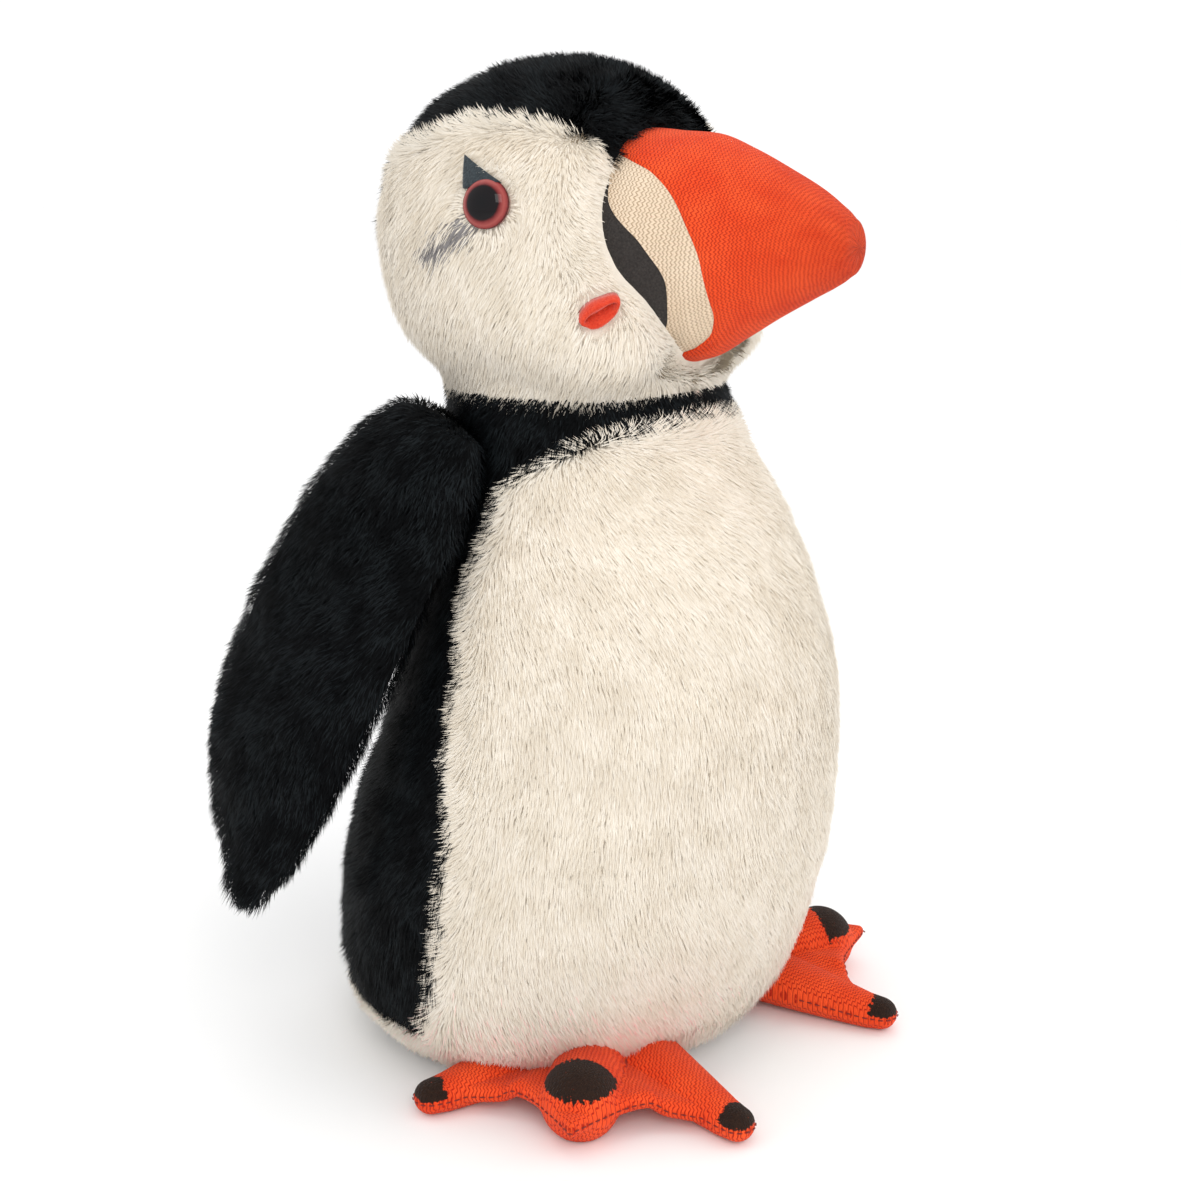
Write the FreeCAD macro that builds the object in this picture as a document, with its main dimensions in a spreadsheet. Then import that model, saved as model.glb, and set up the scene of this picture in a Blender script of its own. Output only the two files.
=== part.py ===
"""Plush puffin: a sewn and stuffed toy bird, as separate sewn panels, fillings and hardware.

Frame: +Z up, the bird faces -Y, its right side is -X, the origin is the middle of the flat base.
"""

import FreeCAD, Part
import os

doc = FreeCAD.newDocument("plush_puffin")

# Driving sizes in millimetres and degrees.
SIZES = {
    "fabric": 3.0,
    "ease": 0.25,
    "play": 0.4,
    # head, an ellipsoid with fuller cheeks under it
    "head_y": 12.8,
    "head_z": 224.6,
    "head_half_width": 49.5,
    "head_half_depth": 51.0,
    "head_half_height": 45.0,
    "jowl_y": 8.0,
    "jowl_z": 207.0,
    "jowl_half_width": 46.0,
    "jowl_half_depth": 48.0,
    "jowl_half_height": 25.0,
    "crown_edge_z": 251.0,
    "nape_half_width": 26.0,
    # neck seam, a ball seat about the point where the head turns and nods
    "pivot_y": 6.0,
    "pivot_z": 224.6,
    "seat_radius": 54.8,
    "neck_rim_radius": 38.0,
    "neck_roll_radius": 22.0,
    "neck_roll_bottom": 150.0,
    # torso seams
    "base_edge_z": 18.0,
    "side_seam_y": -6.0,
    "yoke_front_z": 181.0,
    "yoke_slope": 30.0,
    "pouch_y": 9.0,
    "pouch_radius": 32.0,
    "pouch_height": 20.0,
    # beak
    "band_front_y": -38.0,
    "band_back_y": -31.5,
    "gape_top_z": 236.0,
    # eyes and felt trims, placed by bearing from straight ahead and by height angle
    "eye_bearing": 74.0,
    "eye_rise": 9.0,
    "eye_radius": 6.2,
    "eye_dome": 4.2,
    "stem_radius": 1.8,
    "stem_length": 12.0,
    "washer_radius": 8.0,
    "washer_thickness": 1.6,
    "washer_gap": 1.0,
    "felt_bearing": 77.0,
    "felt_rise": 18.0,
    "felt_side": 7.0,
    "felt_thickness": 1.2,
    "rosette_bearing": 45.0,
    "rosette_rise": -18.0,
    "rosette_half_length": 6.3,
    "rosette_half_height": 3.6,
    # wings
    "shoulder_x": 43.0,
    "shoulder_y": 20.0,
    "shoulder_z": 171.0,
    "wing_swing": 18.5,
    "wing_sweep": 16.5,
    "wing_lift": 75.0,
    "wing_clearance": 0.9,
    # feet
    "ankle_x": 27.0,
    "ankle_y": -22.0,
    "hinge_reach": 13.5,
    "foot_splay": 61.0,
    "toe_spread": 50.0,
    "outer_toe_length": 52.0,
    "middle_toe_length": 36.0,
    "outer_toe_root": 8.5,
    "outer_toe_tip": 5.0,
    "middle_toe_root": 8.0,
    "middle_toe_tip": 10.5,
    "web_height": 7.0,
    "web_reach": 0.74,
    "sole_thickness": 2.0,
}

# Torso cross-sections: height, half width, half depth, middle's y.
TORSO_SECTIONS = [
    (0.0, 37.0, 34.0, 8.0),
    (4.0, 57.0, 50.0, 9.0),
    (10.0, 66.0, 57.0, 9.5),
    (20.0, 72.0, 62.0, 9.0),
    (35.0, 74.5, 65.5, 7.0),
    (50.0, 75.0, 66.5, 4.0),
    (70.0, 72.0, 65.5, 0.0),
    (90.0, 67.5, 62.0, -4.5),
    (110.0, 62.5, 59.0, -6.5),
    (130.0, 55.5, 54.5, -6.5),
    (150.0, 48.5, 48.0, -4.0),
    (165.0, 42.5, 42.0, -0.5),
    (175.0, 40.0, 39.5, 2.5),
    (190.0, 38.6, 38.5, 6.0),
]

# Beak cross-sections: y, half height, half width, middle's height.
BEAK_SECTIONS = [
    (-24.0, 30.0, 28.0, 221.0),
    (-36.0, 28.5, 21.0, 221.5),
    (-46.0, 23.5, 16.5, 223.5),
    (-56.0, 19.0, 13.0, 224.4),
    (-66.0, 13.5, 10.0, 224.6),
    (-73.5, 9.0, 7.2, 224.2),
    (-78.0, 5.3, 4.7, 224.0),
]

# Wing cross-sections in the wing's own frame: height, half chord, half thickness, bulge outwards
# and shift backwards.
WING_SECTIONS = [
    (7.5, 13.0, 3.5, 0.0, 2.0),
    (3.5, 18.5, 7.0, 0.0, 3.0),
    (-8.0, 23.0, 8.5, -1.0, 3.6),
    (-30.0, 26.0, 9.0, -4.5, 3.6),
    (-60.0, 26.5, 9.5, -6.0, 3.6),
    (-90.0, 24.0, 9.5, -5.0, 3.4),
    (-113.0, 17.5, 8.0, -2.5, 2.0),
    (-127.0, 10.5, 6.0, -1.0, 0.0),
    (-134.0, 5.0, 3.5, 0.0, -1.0),
]

# The wing's way up is tried at this many even steps.
LIFT_STEPS = 6

sheet = doc.addObject("Spreadsheet::Sheet", "Sizes")
for row, (alias, value) in enumerate(SIZES.items(), start=1):
    sheet.set(f"A{row}", alias)
    sheet.set(f"B{row}", str(value))
    sheet.setAlias(f"B{row}", alias)
doc.recompute()

nodes = []


def size(alias):
    """A size as a number, for placements that are turned."""
    return float(sheet.get(alias))


def add(kind, name, **bindings):
    """A document object whose properties are bound to expressions over the sheet."""
    thing = doc.addObject(kind, name)
    for prop, expression in bindings.items():
        thing.setExpression(prop, expression)
    return thing


def put(thing, x="0 mm", y="0 mm", z="0 mm"):
    """Bind an object's position to the sheet."""
    for axis, expression in (("x", x), ("y", y), ("z", z)):
        thing.setExpression(f"Placement.Base.{axis}", expression)
    return thing


def mm(expression):
    """An expression over the sheet, read as millimetres."""
    return f"({expression}) * 1 mm"


def node(thing, label):
    """Keep a finished piece under the name of its node."""
    thing.Label = label
    nodes.append(thing)
    return thing


def cut(base, tools, name):
    thing = doc.addObject("Part::Cut", name)
    thing.Base = base
    thing.Tool = tools if not isinstance(tools, list) else fuse(tools, name + "_tool")
    return thing


def fuse(shapes, name):
    if len(shapes) == 1:
        return shapes[0]
    thing = doc.addObject("Part::MultiFuse", name)
    thing.Shapes = shapes
    return thing


def common(shapes, name):
    thing = doc.addObject("Part::MultiCommon", name)
    thing.Shapes = shapes
    return thing


def mirrored(thing, label):
    """The left-hand twin of a right-hand piece."""
    twin = doc.addObject("Part::Mirroring", label + "_mirror")
    twin.Source = thing
    twin.Base = FreeCAD.Vector(0, 0, 0)
    twin.Normal = FreeCAD.Vector(1, 0, 0)
    return node(twin, label)


def pair(thing, label):
    """A right-hand piece and its left-hand twin."""
    node(thing, label + "_right")
    mirrored(thing, label + "_left")


def block(name, low, high):
    """A box between two corners, used to part panels at a flat seam."""
    thing = doc.addObject("Part::Box", name)
    thing.Length, thing.Width, thing.Height = (b - a for a, b in zip(low, high))
    thing.Placement.Base = FreeCAD.Vector(*low)
    return thing


BIG = 400.0
right_half = block("right_half", (-BIG, -BIG, -BIG), (0, BIG, BIG))


def bearing_placement(bearing, rise, distance=0.0):
    """On the right side of the head: local +Z points out of the head along a bearing and a rise."""
    out = FreeCAD.Rotation(FreeCAD.Vector(0, 0, 1), -bearing)
    up = FreeCAD.Rotation(FreeCAD.Vector(1, 0, 0), 90 - rise)
    turn = out.multiply(up)
    centre = FreeCAD.Vector(0, size("head_y"), size("head_z"))
    return FreeCAD.Placement(centre + turn.multVec(FreeCAD.Vector(0, 0, distance)), turn)


def head_surface_distance(bearing, rise):
    """Distance from the head's middle to its surface along a bearing and a rise."""
    out = bearing_placement(bearing, rise).Rotation.multVec(FreeCAD.Vector(0, 0, 1))
    scaled = FreeCAD.Vector(
        out.x / size("head_half_width"),
        out.y / size("head_half_depth"),
        out.z / size("head_half_height"),
    )
    return 1.0 / scaled.Length


def head_form(name, inset):
    """The head's outline, shrunk by an inset: skull, cheeks and the ball end in the neck seam."""
    skull = add(
        "Part::Ellipsoid",
        name + "_skull",
        Radius1=mm(f"Sizes.head_half_height - {inset}"),
        Radius2=mm(f"Sizes.head_half_width - {inset}"),
        Radius3=mm(f"Sizes.head_half_depth - {inset}"),
    )
    put(skull, y=mm("Sizes.head_y"), z=mm("Sizes.head_z"))
    jowl = add(
        "Part::Ellipsoid",
        name + "_jowl",
        Radius1=mm(f"Sizes.jowl_half_height - {inset}"),
        Radius2=mm(f"Sizes.jowl_half_width - {inset}"),
        Radius3=mm(f"Sizes.jowl_half_depth - {inset}"),
    )
    put(jowl, y=mm("Sizes.jowl_y"), z=mm("Sizes.jowl_z"))
    ball = add("Part::Sphere", name + "_ball", Radius=mm("Sizes.seat_radius - Sizes.play"))
    put(ball, y=mm("Sizes.pivot_y"), z=mm("Sizes.pivot_z"))
    plug = add(
        "Part::Cylinder",
        name + "_plug",
        Radius=mm(f"Sizes.neck_rim_radius - {inset}"),
        Height=mm("Sizes.seat_radius"),
    )
    put(plug, y=mm("Sizes.pivot_y"), z=mm("Sizes.pivot_z - Sizes.seat_radius"))
    neck_end = common([ball, plug], name + "_neck_end")
    return fuse([skull, jowl, neck_end], name)


def section(name, major, minor, placement):
    ring = doc.addObject("Part::Ellipse", name)
    ring.setExpression("MajorRadius", major)
    ring.setExpression("MinorRadius", minor)
    ring.Placement = placement
    return ring


def loft(name, rings):
    thing = doc.addObject("Part::Loft", name)
    thing.Sections = rings
    thing.Solid = True
    return thing


def torso_form(name, inset, floor="0"):
    """The torso's outline, shrunk by an inset on its sides and raised to a floor."""
    rings = []
    for number, (height, half_width, half_depth, middle) in enumerate(TORSO_SECTIONS):
        place = FreeCAD.Placement(FreeCAD.Vector(0, middle, height), FreeCAD.Rotation())
        ring = section(
            f"{name}_ring_{number}",
            mm(f"{half_width} - {inset}"),
            mm(f"{half_depth} - {inset}"),
            place,
        )
        if number == 0:
            ring.setExpression("Placement.Base.z", mm(floor))
        rings.append(ring)
    return loft(name, rings)


def beak_form(name, inset):
    """The beak's outline, shrunk by an inset: tall ovals that taper towards the tip."""
    upright = FreeCAD.Rotation(FreeCAD.Vector(1, 1, 1), 240)
    rings = []
    for number, (along, half_height, half_width, middle) in enumerate(BEAK_SECTIONS):
        place = FreeCAD.Placement(FreeCAD.Vector(0, along, middle), upright)
        ring = section(
            f"{name}_ring_{number}",
            mm(f"{half_height} - {inset}"),
            mm(f"{half_width} - {inset}"),
            place,
        )
        if number == len(BEAK_SECTIONS) - 1:
            ring.setExpression("Placement.Base.y", mm(f"{along} + {inset}"))
        rings.append(ring)
    return loft(name, rings)


def wing_placement():
    swing = FreeCAD.Rotation(FreeCAD.Vector(0, 1, 0), size("wing_swing"))
    sweep = FreeCAD.Rotation(FreeCAD.Vector(1, 0, 0), size("wing_sweep"))
    shoulder = FreeCAD.Vector(-size("shoulder_x"), size("shoulder_y"), size("shoulder_z"))
    return FreeCAD.Placement(shoulder, swing.multiply(sweep))


def wing_form(name, inset):
    """The right wing's outline, shrunk by an inset: a flat teardrop hung from the shoulder."""
    across = FreeCAD.Rotation(FreeCAD.Vector(0, 0, 1), 90)
    last = len(WING_SECTIONS) - 1
    rings = []
    for number, (height, half_chord, half_thickness, bulge, shift) in enumerate(WING_SECTIONS):
        place = FreeCAD.Placement(FreeCAD.Vector(bulge, shift, height), across)
        ring = section(
            f"{name}_ring_{number}",
            mm(f"{half_chord} - {inset}"),
            mm(f"{half_thickness} - {inset}"),
            place,
        )
        if number == 0:
            ring.setExpression("Placement.Base.z", mm(f"{height} - {inset}"))
        if number == last:
            ring.setExpression("Placement.Base.z", mm(f"{height} + {inset}"))
        rings.append(ring)
    thing = loft(name, rings)
    thing.Placement = wing_placement()
    return thing


def make_eyes():
    """Safety eyes: a domed button on a stem, held by a lock washer behind the cheek."""
    bearing, rise = size("eye_bearing"), size("eye_rise")
    surface = head_surface_distance(bearing, rise)
    dome_centre = surface + size("eye_dome") - size("eye_radius")
    dome = add("Part::Sphere", "eye_dome", Radius=mm("Sizes.eye_radius"))
    dome.Placement = bearing_placement(bearing, rise, dome_centre)
    front = add(
        "Part::Cylinder",
        "eye_front",
        Radius=mm("Sizes.eye_radius + 1"),
        Height=mm("Sizes.eye_radius * 3"),
    )
    front.Placement = bearing_placement(bearing, rise, surface - size("felt_thickness"))
    button = common([dome, front], "eye_button")
    stem = add(
        "Part::Cylinder",
        "eye_stem",
        Radius=mm("Sizes.stem_radius"),
        Height=mm("Sizes.stem_length"),
    )
    stem.Placement = bearing_placement(bearing, rise, surface - size("stem_length"))
    pair(fuse([button, stem], "eye"), "eye")
    washer_depth = surface - size("fabric") - size("washer_gap") - size("washer_thickness")
    disc = add(
        "Part::Cylinder",
        "washer_disc",
        Radius=mm("Sizes.washer_radius"),
        Height=mm("Sizes.washer_thickness"),
    )
    disc.Placement = bearing_placement(bearing, rise, washer_depth)
    hole = add(
        "Part::Cylinder",
        "washer_hole",
        Radius=mm("Sizes.stem_radius"),
        Height=mm("Sizes.stem_length * 2"),
    )
    hole.Placement = bearing_placement(bearing, rise, surface - 2 * size("stem_length"))
    pair(cut(disc, hole, "washer"), "eye_washer")
    room = add(
        "Part::Cylinder",
        "washer_room",
        Radius=mm("Sizes.washer_radius + Sizes.ease"),
        Height=mm("Sizes.washer_thickness + Sizes.washer_gap + Sizes.fabric"),
    )
    room.Placement = bearing_placement(bearing, rise, washer_depth - size("ease"))
    deep = add(
        "Part::Cylinder",
        "stem_room",
        Radius=mm("Sizes.stem_radius + Sizes.ease"),
        Height=mm("Sizes.stem_length + Sizes.eye_radius"),
    )
    deep.Placement = bearing_placement(bearing, rise, surface - size("stem_length") - size("ease"))
    socket = add(
        "Part::Sphere",
        "eye_socket",
        Radius=mm("Sizes.eye_radius + Sizes.ease"),
    )
    socket.Placement = dome.Placement
    sunk = common([socket, front], "eye_sunk")
    return [sunk, deep], [room, deep], socket


def make_head():
    """Head panels, their filling, the eyes and the felt trims."""
    outside = head_form("head_outside", "0")
    inside = head_form("head_inside", "Sizes.fabric")
    stuffing = head_form("head_stuffing", "(Sizes.fabric + Sizes.ease)")
    panel_holes, stuffing_holes, socket = make_eyes()
    skin = cut(outside, inside, "head_skin")
    top = block("crown_top", (-BIG, -BIG, 0), (BIG, BIG, BIG))
    top.setExpression("Placement.Base.z", mm("Sizes.crown_edge_z"))
    nape = add(
        "Part::Box",
        "crown_nape",
        Length=mm("Sizes.nape_half_width * 2"),
        Width=mm("Sizes.head_half_depth * 2"),
        Height=mm("Sizes.head_half_height * 2"),
    )
    put(
        nape,
        x=mm("-Sizes.nape_half_width"),
        y=mm("Sizes.head_y"),
        z=mm("Sizes.crown_edge_z - Sizes.head_half_height * 2"),
    )
    crown_region = fuse([top, nape], "crown_region")
    beak_outside = beak_form("beak_outside", "0")
    node(common([skin, crown_region], "crown"), "crown_gusset")
    face = cut(skin, [crown_region] + panel_holes, "face")
    pair(common([face, right_half], "cheek"), "cheek")
    mirrored_holes = []
    for number, hole in enumerate(stuffing_holes):
        twin = doc.addObject("Part::Mirroring", f"stuffing_hole_{number}")
        twin.Source = hole
        twin.Normal = FreeCAD.Vector(1, 0, 0)
        mirrored_holes.append(twin)
    node(cut(stuffing, stuffing_holes + mirrored_holes, "head_fill"), "head_filling")
    make_trims(outside, socket)
    make_beak(beak_outside, outside)


def make_trims(outside, socket):
    """Felt triangles over the eyes and felt rosettes at the corners of the beak."""
    proud = add(
        "Part::Ellipsoid",
        "trim_outside",
        Radius1=mm("Sizes.head_half_height + Sizes.felt_thickness"),
        Radius2=mm("Sizes.head_half_width + Sizes.felt_thickness"),
        Radius3=mm("Sizes.head_half_depth + Sizes.felt_thickness"),
    )
    put(proud, y=mm("Sizes.head_y"), z=mm("Sizes.head_z"))
    wedge = add(
        "Part::Prism",
        "felt_prism",
        Circumradius=mm("Sizes.felt_side"),
        Height=mm("Sizes.head_half_width"),
    )
    wedge.Polygon = 3
    turned = bearing_placement(size("felt_bearing"), size("felt_rise"), size("felt_side"))
    wedge.Placement = turned.multiply(
        FreeCAD.Placement(FreeCAD.Vector(), FreeCAD.Rotation(FreeCAD.Vector(0, 0, 1), 90))
    )
    pair(cut(common([proud, wedge], "felt_blank"), [outside, socket], "felt"), "eye_felt")
    oval = section(
        "rosette_oval",
        mm("Sizes.rosette_half_length"),
        mm("Sizes.rosette_half_height"),
        FreeCAD.Placement(),
    )
    rod = doc.addObject("Part::Extrusion", "rosette_rod")
    rod.Base = oval
    rod.DirMode = "Custom"
    rod.Dir = FreeCAD.Vector(0, 0, 1)
    rod.setExpression("LengthFwd", mm("Sizes.head_half_width * 1.5"))
    rod.Solid = True
    tilt = FreeCAD.Placement(FreeCAD.Vector(), FreeCAD.Rotation(FreeCAD.Vector(0, 0, 1), 25))
    rod.Placement = bearing_placement(size("rosette_bearing"), size("rosette_rise")).multiply(tilt)
    pair(cut(common([proud, rod], "rosette_blank"), outside, "rosette"), "gape_rosette")


def make_beak(beak_outside, head_outside):
    """Beak panels with a ridge seam, the pale band and the dark base behind it, and the filling."""
    beak_inside = beak_form("beak_inside", "Sizes.fabric")
    beak_stuffing = beak_form("beak_stuffing", "(Sizes.fabric + Sizes.ease)")
    shell = cut(beak_outside, [beak_inside, head_outside], "beak_shell")
    half = common([shell, right_half], "beak_half")
    front = block("beak_front", (-BIG, -BIG, -BIG), (BIG, 0, BIG))
    front.setExpression("Placement.Base.y", mm(f"Sizes.band_front_y - {BIG}"))
    back = block("beak_back", (-BIG, 0, -BIG), (BIG, BIG, BIG))
    back.setExpression("Placement.Base.y", mm("Sizes.band_back_y"))
    below = block("gape_below", (-BIG, -BIG, -BIG), (BIG, BIG, 0))
    below.setExpression("Placement.Base.z", mm(f"Sizes.gape_top_z - {BIG}"))
    gape = common([back, below], "gape_region")
    pair(common([half, front], "beak_panel"), "beak_panel")
    pair(common([half, gape], "beak_base"), "beak_base")
    pair(cut(half, [front, gape], "beak_band"), "beak_band")
    node(cut(beak_stuffing, head_outside, "beak_fill"), "beak_filling")


def make_torso():
    """Belly, back and base panels, the filling, the neck roll and the pouch of beads."""
    outside = torso_form("torso_outside", "0")
    inside = torso_form("torso_inside", "Sizes.fabric", "Sizes.fabric")
    stuffing = torso_form(
        "torso_stuffing", "(Sizes.fabric + Sizes.ease)", "Sizes.fabric + Sizes.ease"
    )
    seat = add("Part::Sphere", "neck_seat", Radius=mm("Sizes.seat_radius"))
    put(seat, y=mm("Sizes.pivot_y"), z=mm("Sizes.pivot_z"))
    skin = cut(outside, [inside, seat], "torso_skin")
    base = block("base_region", (-BIG, -BIG, -BIG), (BIG, BIG, 0))
    base.setExpression("Placement.Base.z", mm(f"Sizes.base_edge_z - {BIG}"))
    node(common([skin, base], "base"), "base_panel")
    front = block("belly_region", (-BIG, -BIG, -BIG), (BIG, 0, BIG))
    front.setExpression("Placement.Base.y", mm(f"Sizes.side_seam_y - {BIG}"))
    yoke = block("yoke_region", (-BIG, -BIG, 0), (BIG, BIG, BIG))
    yoke_turn = FreeCAD.Rotation(FreeCAD.Vector(1, 0, 0), -size("yoke_slope"))
    front_y = size("pivot_y") - size("neck_rim_radius")
    corner = FreeCAD.Vector(-BIG, front_y, size("yoke_front_z"))
    yoke.Placement = FreeCAD.Placement(corner, yoke_turn).multiply(
        FreeCAD.Placement(FreeCAD.Vector(0, -BIG, 0), FreeCAD.Rotation())
    )
    belly_region = cut(front, [yoke, base], "belly_only")
    belly = common([skin, belly_region], "belly_both")
    back = cut(skin, [belly_region, base], "back_both")
    pair(common([belly, right_half], "belly"), "belly")
    pair(common([back, right_half], "back"), "back")
    make_torso_filling(stuffing, seat)


def make_torso_filling(stuffing, seat):
    height = "Sizes.pivot_z - Sizes.neck_roll_bottom"
    roll = add(
        "Part::Cylinder",
        "neck_roll",
        Radius=mm("Sizes.neck_roll_radius"),
        Height=mm(height),
    )
    put(roll, y=mm("Sizes.pivot_y"), z=mm("Sizes.neck_roll_bottom"))
    roll_room = add(
        "Part::Cylinder",
        "neck_roll_room",
        Radius=mm("Sizes.neck_roll_radius + Sizes.play"),
        Height=mm(height),
    )
    put(roll_room, y=mm("Sizes.pivot_y"), z=mm("Sizes.neck_roll_bottom - Sizes.play"))
    node(cut(roll, seat, "neck"), "neck_filling")
    pouch_floor = "Sizes.fabric + Sizes.ease * 2"
    pouches = []
    for name, extra in (("pouch", "0"), ("pouch_room", "Sizes.ease")):
        pouch = add(
            "Part::Cylinder",
            name,
            Radius=mm(f"Sizes.pouch_radius + {extra}"),
            Height=mm(f"Sizes.pouch_height + 2 * {extra}"),
        )
        put(pouch, y=mm("Sizes.pouch_y"), z=mm(f"{pouch_floor} + Sizes.fabric - {extra}"))
        pouches.append(pouch)
    node(pouches[0], "bead_pouch")
    node(cut(stuffing, [seat, roll_room, pouches[1]], "torso_fill"), "torso_filling")


def body_seen_from_wing(name, gap):
    """The torso as the right wing meets it on its way up, kept a gap away from it."""
    shoulder = FreeCAD.Vector(-size("shoulder_x"), size("shoulder_y"), size("shoulder_z"))
    hinge = wing_placement().Rotation.multVec(FreeCAD.Vector(0, 1, 0))
    forms = []
    for step in range(LIFT_STEPS + 1):
        lift = size("wing_lift") * step / LIFT_STEPS
        form = torso_form(f"{name}_{step}", f"(0 - {gap})")
        form.Placement = FreeCAD.Placement(
            FreeCAD.Vector(), FreeCAD.Rotation(hinge, -lift), shoulder
        )
        forms.append(form)
    return forms


def make_wings():
    """Each wing: an outer and an inner panel sewn round the edge, and its filling."""
    outside = wing_form("wing_outside", "0")
    inside = wing_form("wing_inside", "Sizes.fabric * 0.7")
    stuffing = wing_form("wing_stuffing", "(Sizes.fabric * 0.7 + Sizes.ease)")
    whole = cut(outside, inside, "wing_whole")
    skin = cut(whole, body_seen_from_wing("wing_clear", "Sizes.wing_clearance"), "wing_skin")
    outer_side = block("wing_outer_side", (-BIG, -BIG, -BIG), (0, BIG, BIG))
    outer_side.Placement = wing_placement().multiply(outer_side.Placement)
    bulge = FreeCAD.Vector(WING_SECTIONS[4][3] / 2, 0, 0)
    outer_side.Placement.Base = outer_side.Placement.Base + wing_placement().Rotation.multVec(bulge)
    pair(common([skin, outer_side], "wing_outer"), "wing_outer")
    pair(cut(skin, outer_side, "wing_inner"), "wing_inner")
    room = body_seen_from_wing("wing_filling_clear", "(Sizes.wing_clearance + Sizes.ease)")
    pair(cut(stuffing, room, "wing_fill"), "wing_filling")


def foot_placement():
    """Local -Y is the way the middle toe points."""
    turn = FreeCAD.Rotation(FreeCAD.Vector(0, 0, 1), -size("foot_splay"))
    return FreeCAD.Placement(FreeCAD.Vector(-size("ankle_x"), size("ankle_y"), 0), turn)


def toe(name, angle, length, root, tip, inset):
    """A stuffed toe that lies on the ground: a cone with a round end, along its own angle."""
    run = size(length)
    r_root, r_tip = size(root), size(tip)
    turn = FreeCAD.Rotation(FreeCAD.Vector(0, 0, 1), angle)
    start = FreeCAD.Vector(0, 0, r_root)
    finish = turn.multVec(FreeCAD.Vector(0, -run, 0)) + FreeCAD.Vector(0, 0, r_tip)
    cone = add(
        "Part::Cone",
        name + "_cone",
        Radius1=mm(f"Sizes.{root} - {inset}"),
        Radius2=mm(f"Sizes.{tip} - {inset}"),
    )
    cone.Height = (finish - start).Length
    lie = FreeCAD.Rotation(FreeCAD.Vector(0, 0, 1), finish - start)
    cone.Placement = foot_placement().multiply(FreeCAD.Placement(start, lie))
    end = add("Part::Sphere", name + "_end", Radius=mm(f"Sizes.{tip} - {inset}"))
    end.Placement = foot_placement().multiply(FreeCAD.Placement(finish, FreeCAD.Rotation()))
    return [cone, end]


def foot_form(name, inset, web_inset):
    """Three toes and the web between them, shrunk by an inset."""
    spread = size("toe_spread")
    toes = (
        ("inner", spread, "outer_toe_length", "outer_toe_root", "outer_toe_tip"),
        ("middle", 0.0, "middle_toe_length", "middle_toe_root", "middle_toe_tip"),
        ("outer", -spread, "outer_toe_length", "outer_toe_root", "outer_toe_tip"),
    )
    shapes = []
    heel = FreeCAD.Vector(0, -web_inset, 0)
    corners = [heel]
    for label, angle, length, root, tip in toes:
        shapes += toe(f"{name}_{label}", angle, length, root, tip, inset)
        turn = FreeCAD.Rotation(FreeCAD.Vector(0, 0, 1), angle)
        reach = size(length) * size("web_reach") - 2 * web_inset
        corners.append(heel + turn.multVec(FreeCAD.Vector(0, -reach, 0)))
    outline = doc.addObject("Part::Polygon", name + "_web_outline")
    outline.Nodes = corners
    outline.Close = True
    web = doc.addObject("Part::Extrusion", name + "_web")
    web.Base = outline
    web.DirMode = "Custom"
    web.Dir = FreeCAD.Vector(0, 0, 1)
    web.setExpression("LengthFwd", mm(f"Sizes.web_height - 2 * {inset}"))
    web.Solid = True
    web.Placement = foot_placement()
    web.setExpression("Placement.Base.z", mm(inset))
    return fuse(shapes + [web], name)


def make_feet():
    """Each foot: a knit upper, a knit sole and its filling, hinged at the seam under the belly."""
    outside = foot_form("foot_outside", "0", 0)
    skin_depth = "Sizes.sole_thickness"
    skin = size("sole_thickness")
    ease = size("ease")
    inside = foot_form("foot_inside", skin_depth, skin)
    stuffing = foot_form("foot_stuffing", f"({skin_depth} + Sizes.ease)", skin + ease)
    behind = block("foot_behind", (-BIG, 0, -BIG), (BIG, BIG, BIG))
    reach = FreeCAD.Placement(FreeCAD.Vector(0, -size("hinge_reach"), 0), FreeCAD.Rotation())
    behind.Placement = foot_placement().multiply(reach).multiply(behind.Placement)
    clear = torso_form("torso_clear", "(0 - Sizes.play)")
    ground = block("sole_region", (-BIG, -BIG, -BIG), (BIG, BIG, 0))
    ground.setExpression("Placement.Base.z", mm(f"{skin_depth} - {BIG}"))
    whole = cut(outside, [behind, clear], "foot_whole")
    pair(common([whole, ground], "foot_sole"), "foot_sole")
    above = cut(whole, ground, "foot_above")
    pair(cut(above, inside, "foot_upper"), "foot_upper")
    pair(cut(stuffing, [behind, clear], "foot_fill"), "foot_filling")


make_head()
make_torso()
make_wings()
make_feet()
doc.recompute()

for thing in doc.Objects:
    if "Invalid" in thing.State or "Error" in thing.State:
        raise RuntimeError(f"{thing.Name} failed: {thing.State}")
for thing in nodes:
    if thing.Shape.isNull() or not thing.Shape.isValid() or not thing.Shape.Solids:
        raise RuntimeError(f"{thing.Label} has no valid solid")

os.makedirs("parts", exist_ok=True)
for thing in nodes:
    thing.Shape.exportStep(f"parts/{thing.Label}.step")
    bounds = thing.Shape.BoundBox
    print(
        f"{thing.Label}: {len(thing.Shape.Solids)} solid, {thing.Shape.Volume / 1000:.2f} ml,",
        f"z {bounds.ZMin:.1f} to {bounds.ZMax:.1f}",
    )
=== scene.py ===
import math

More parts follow.
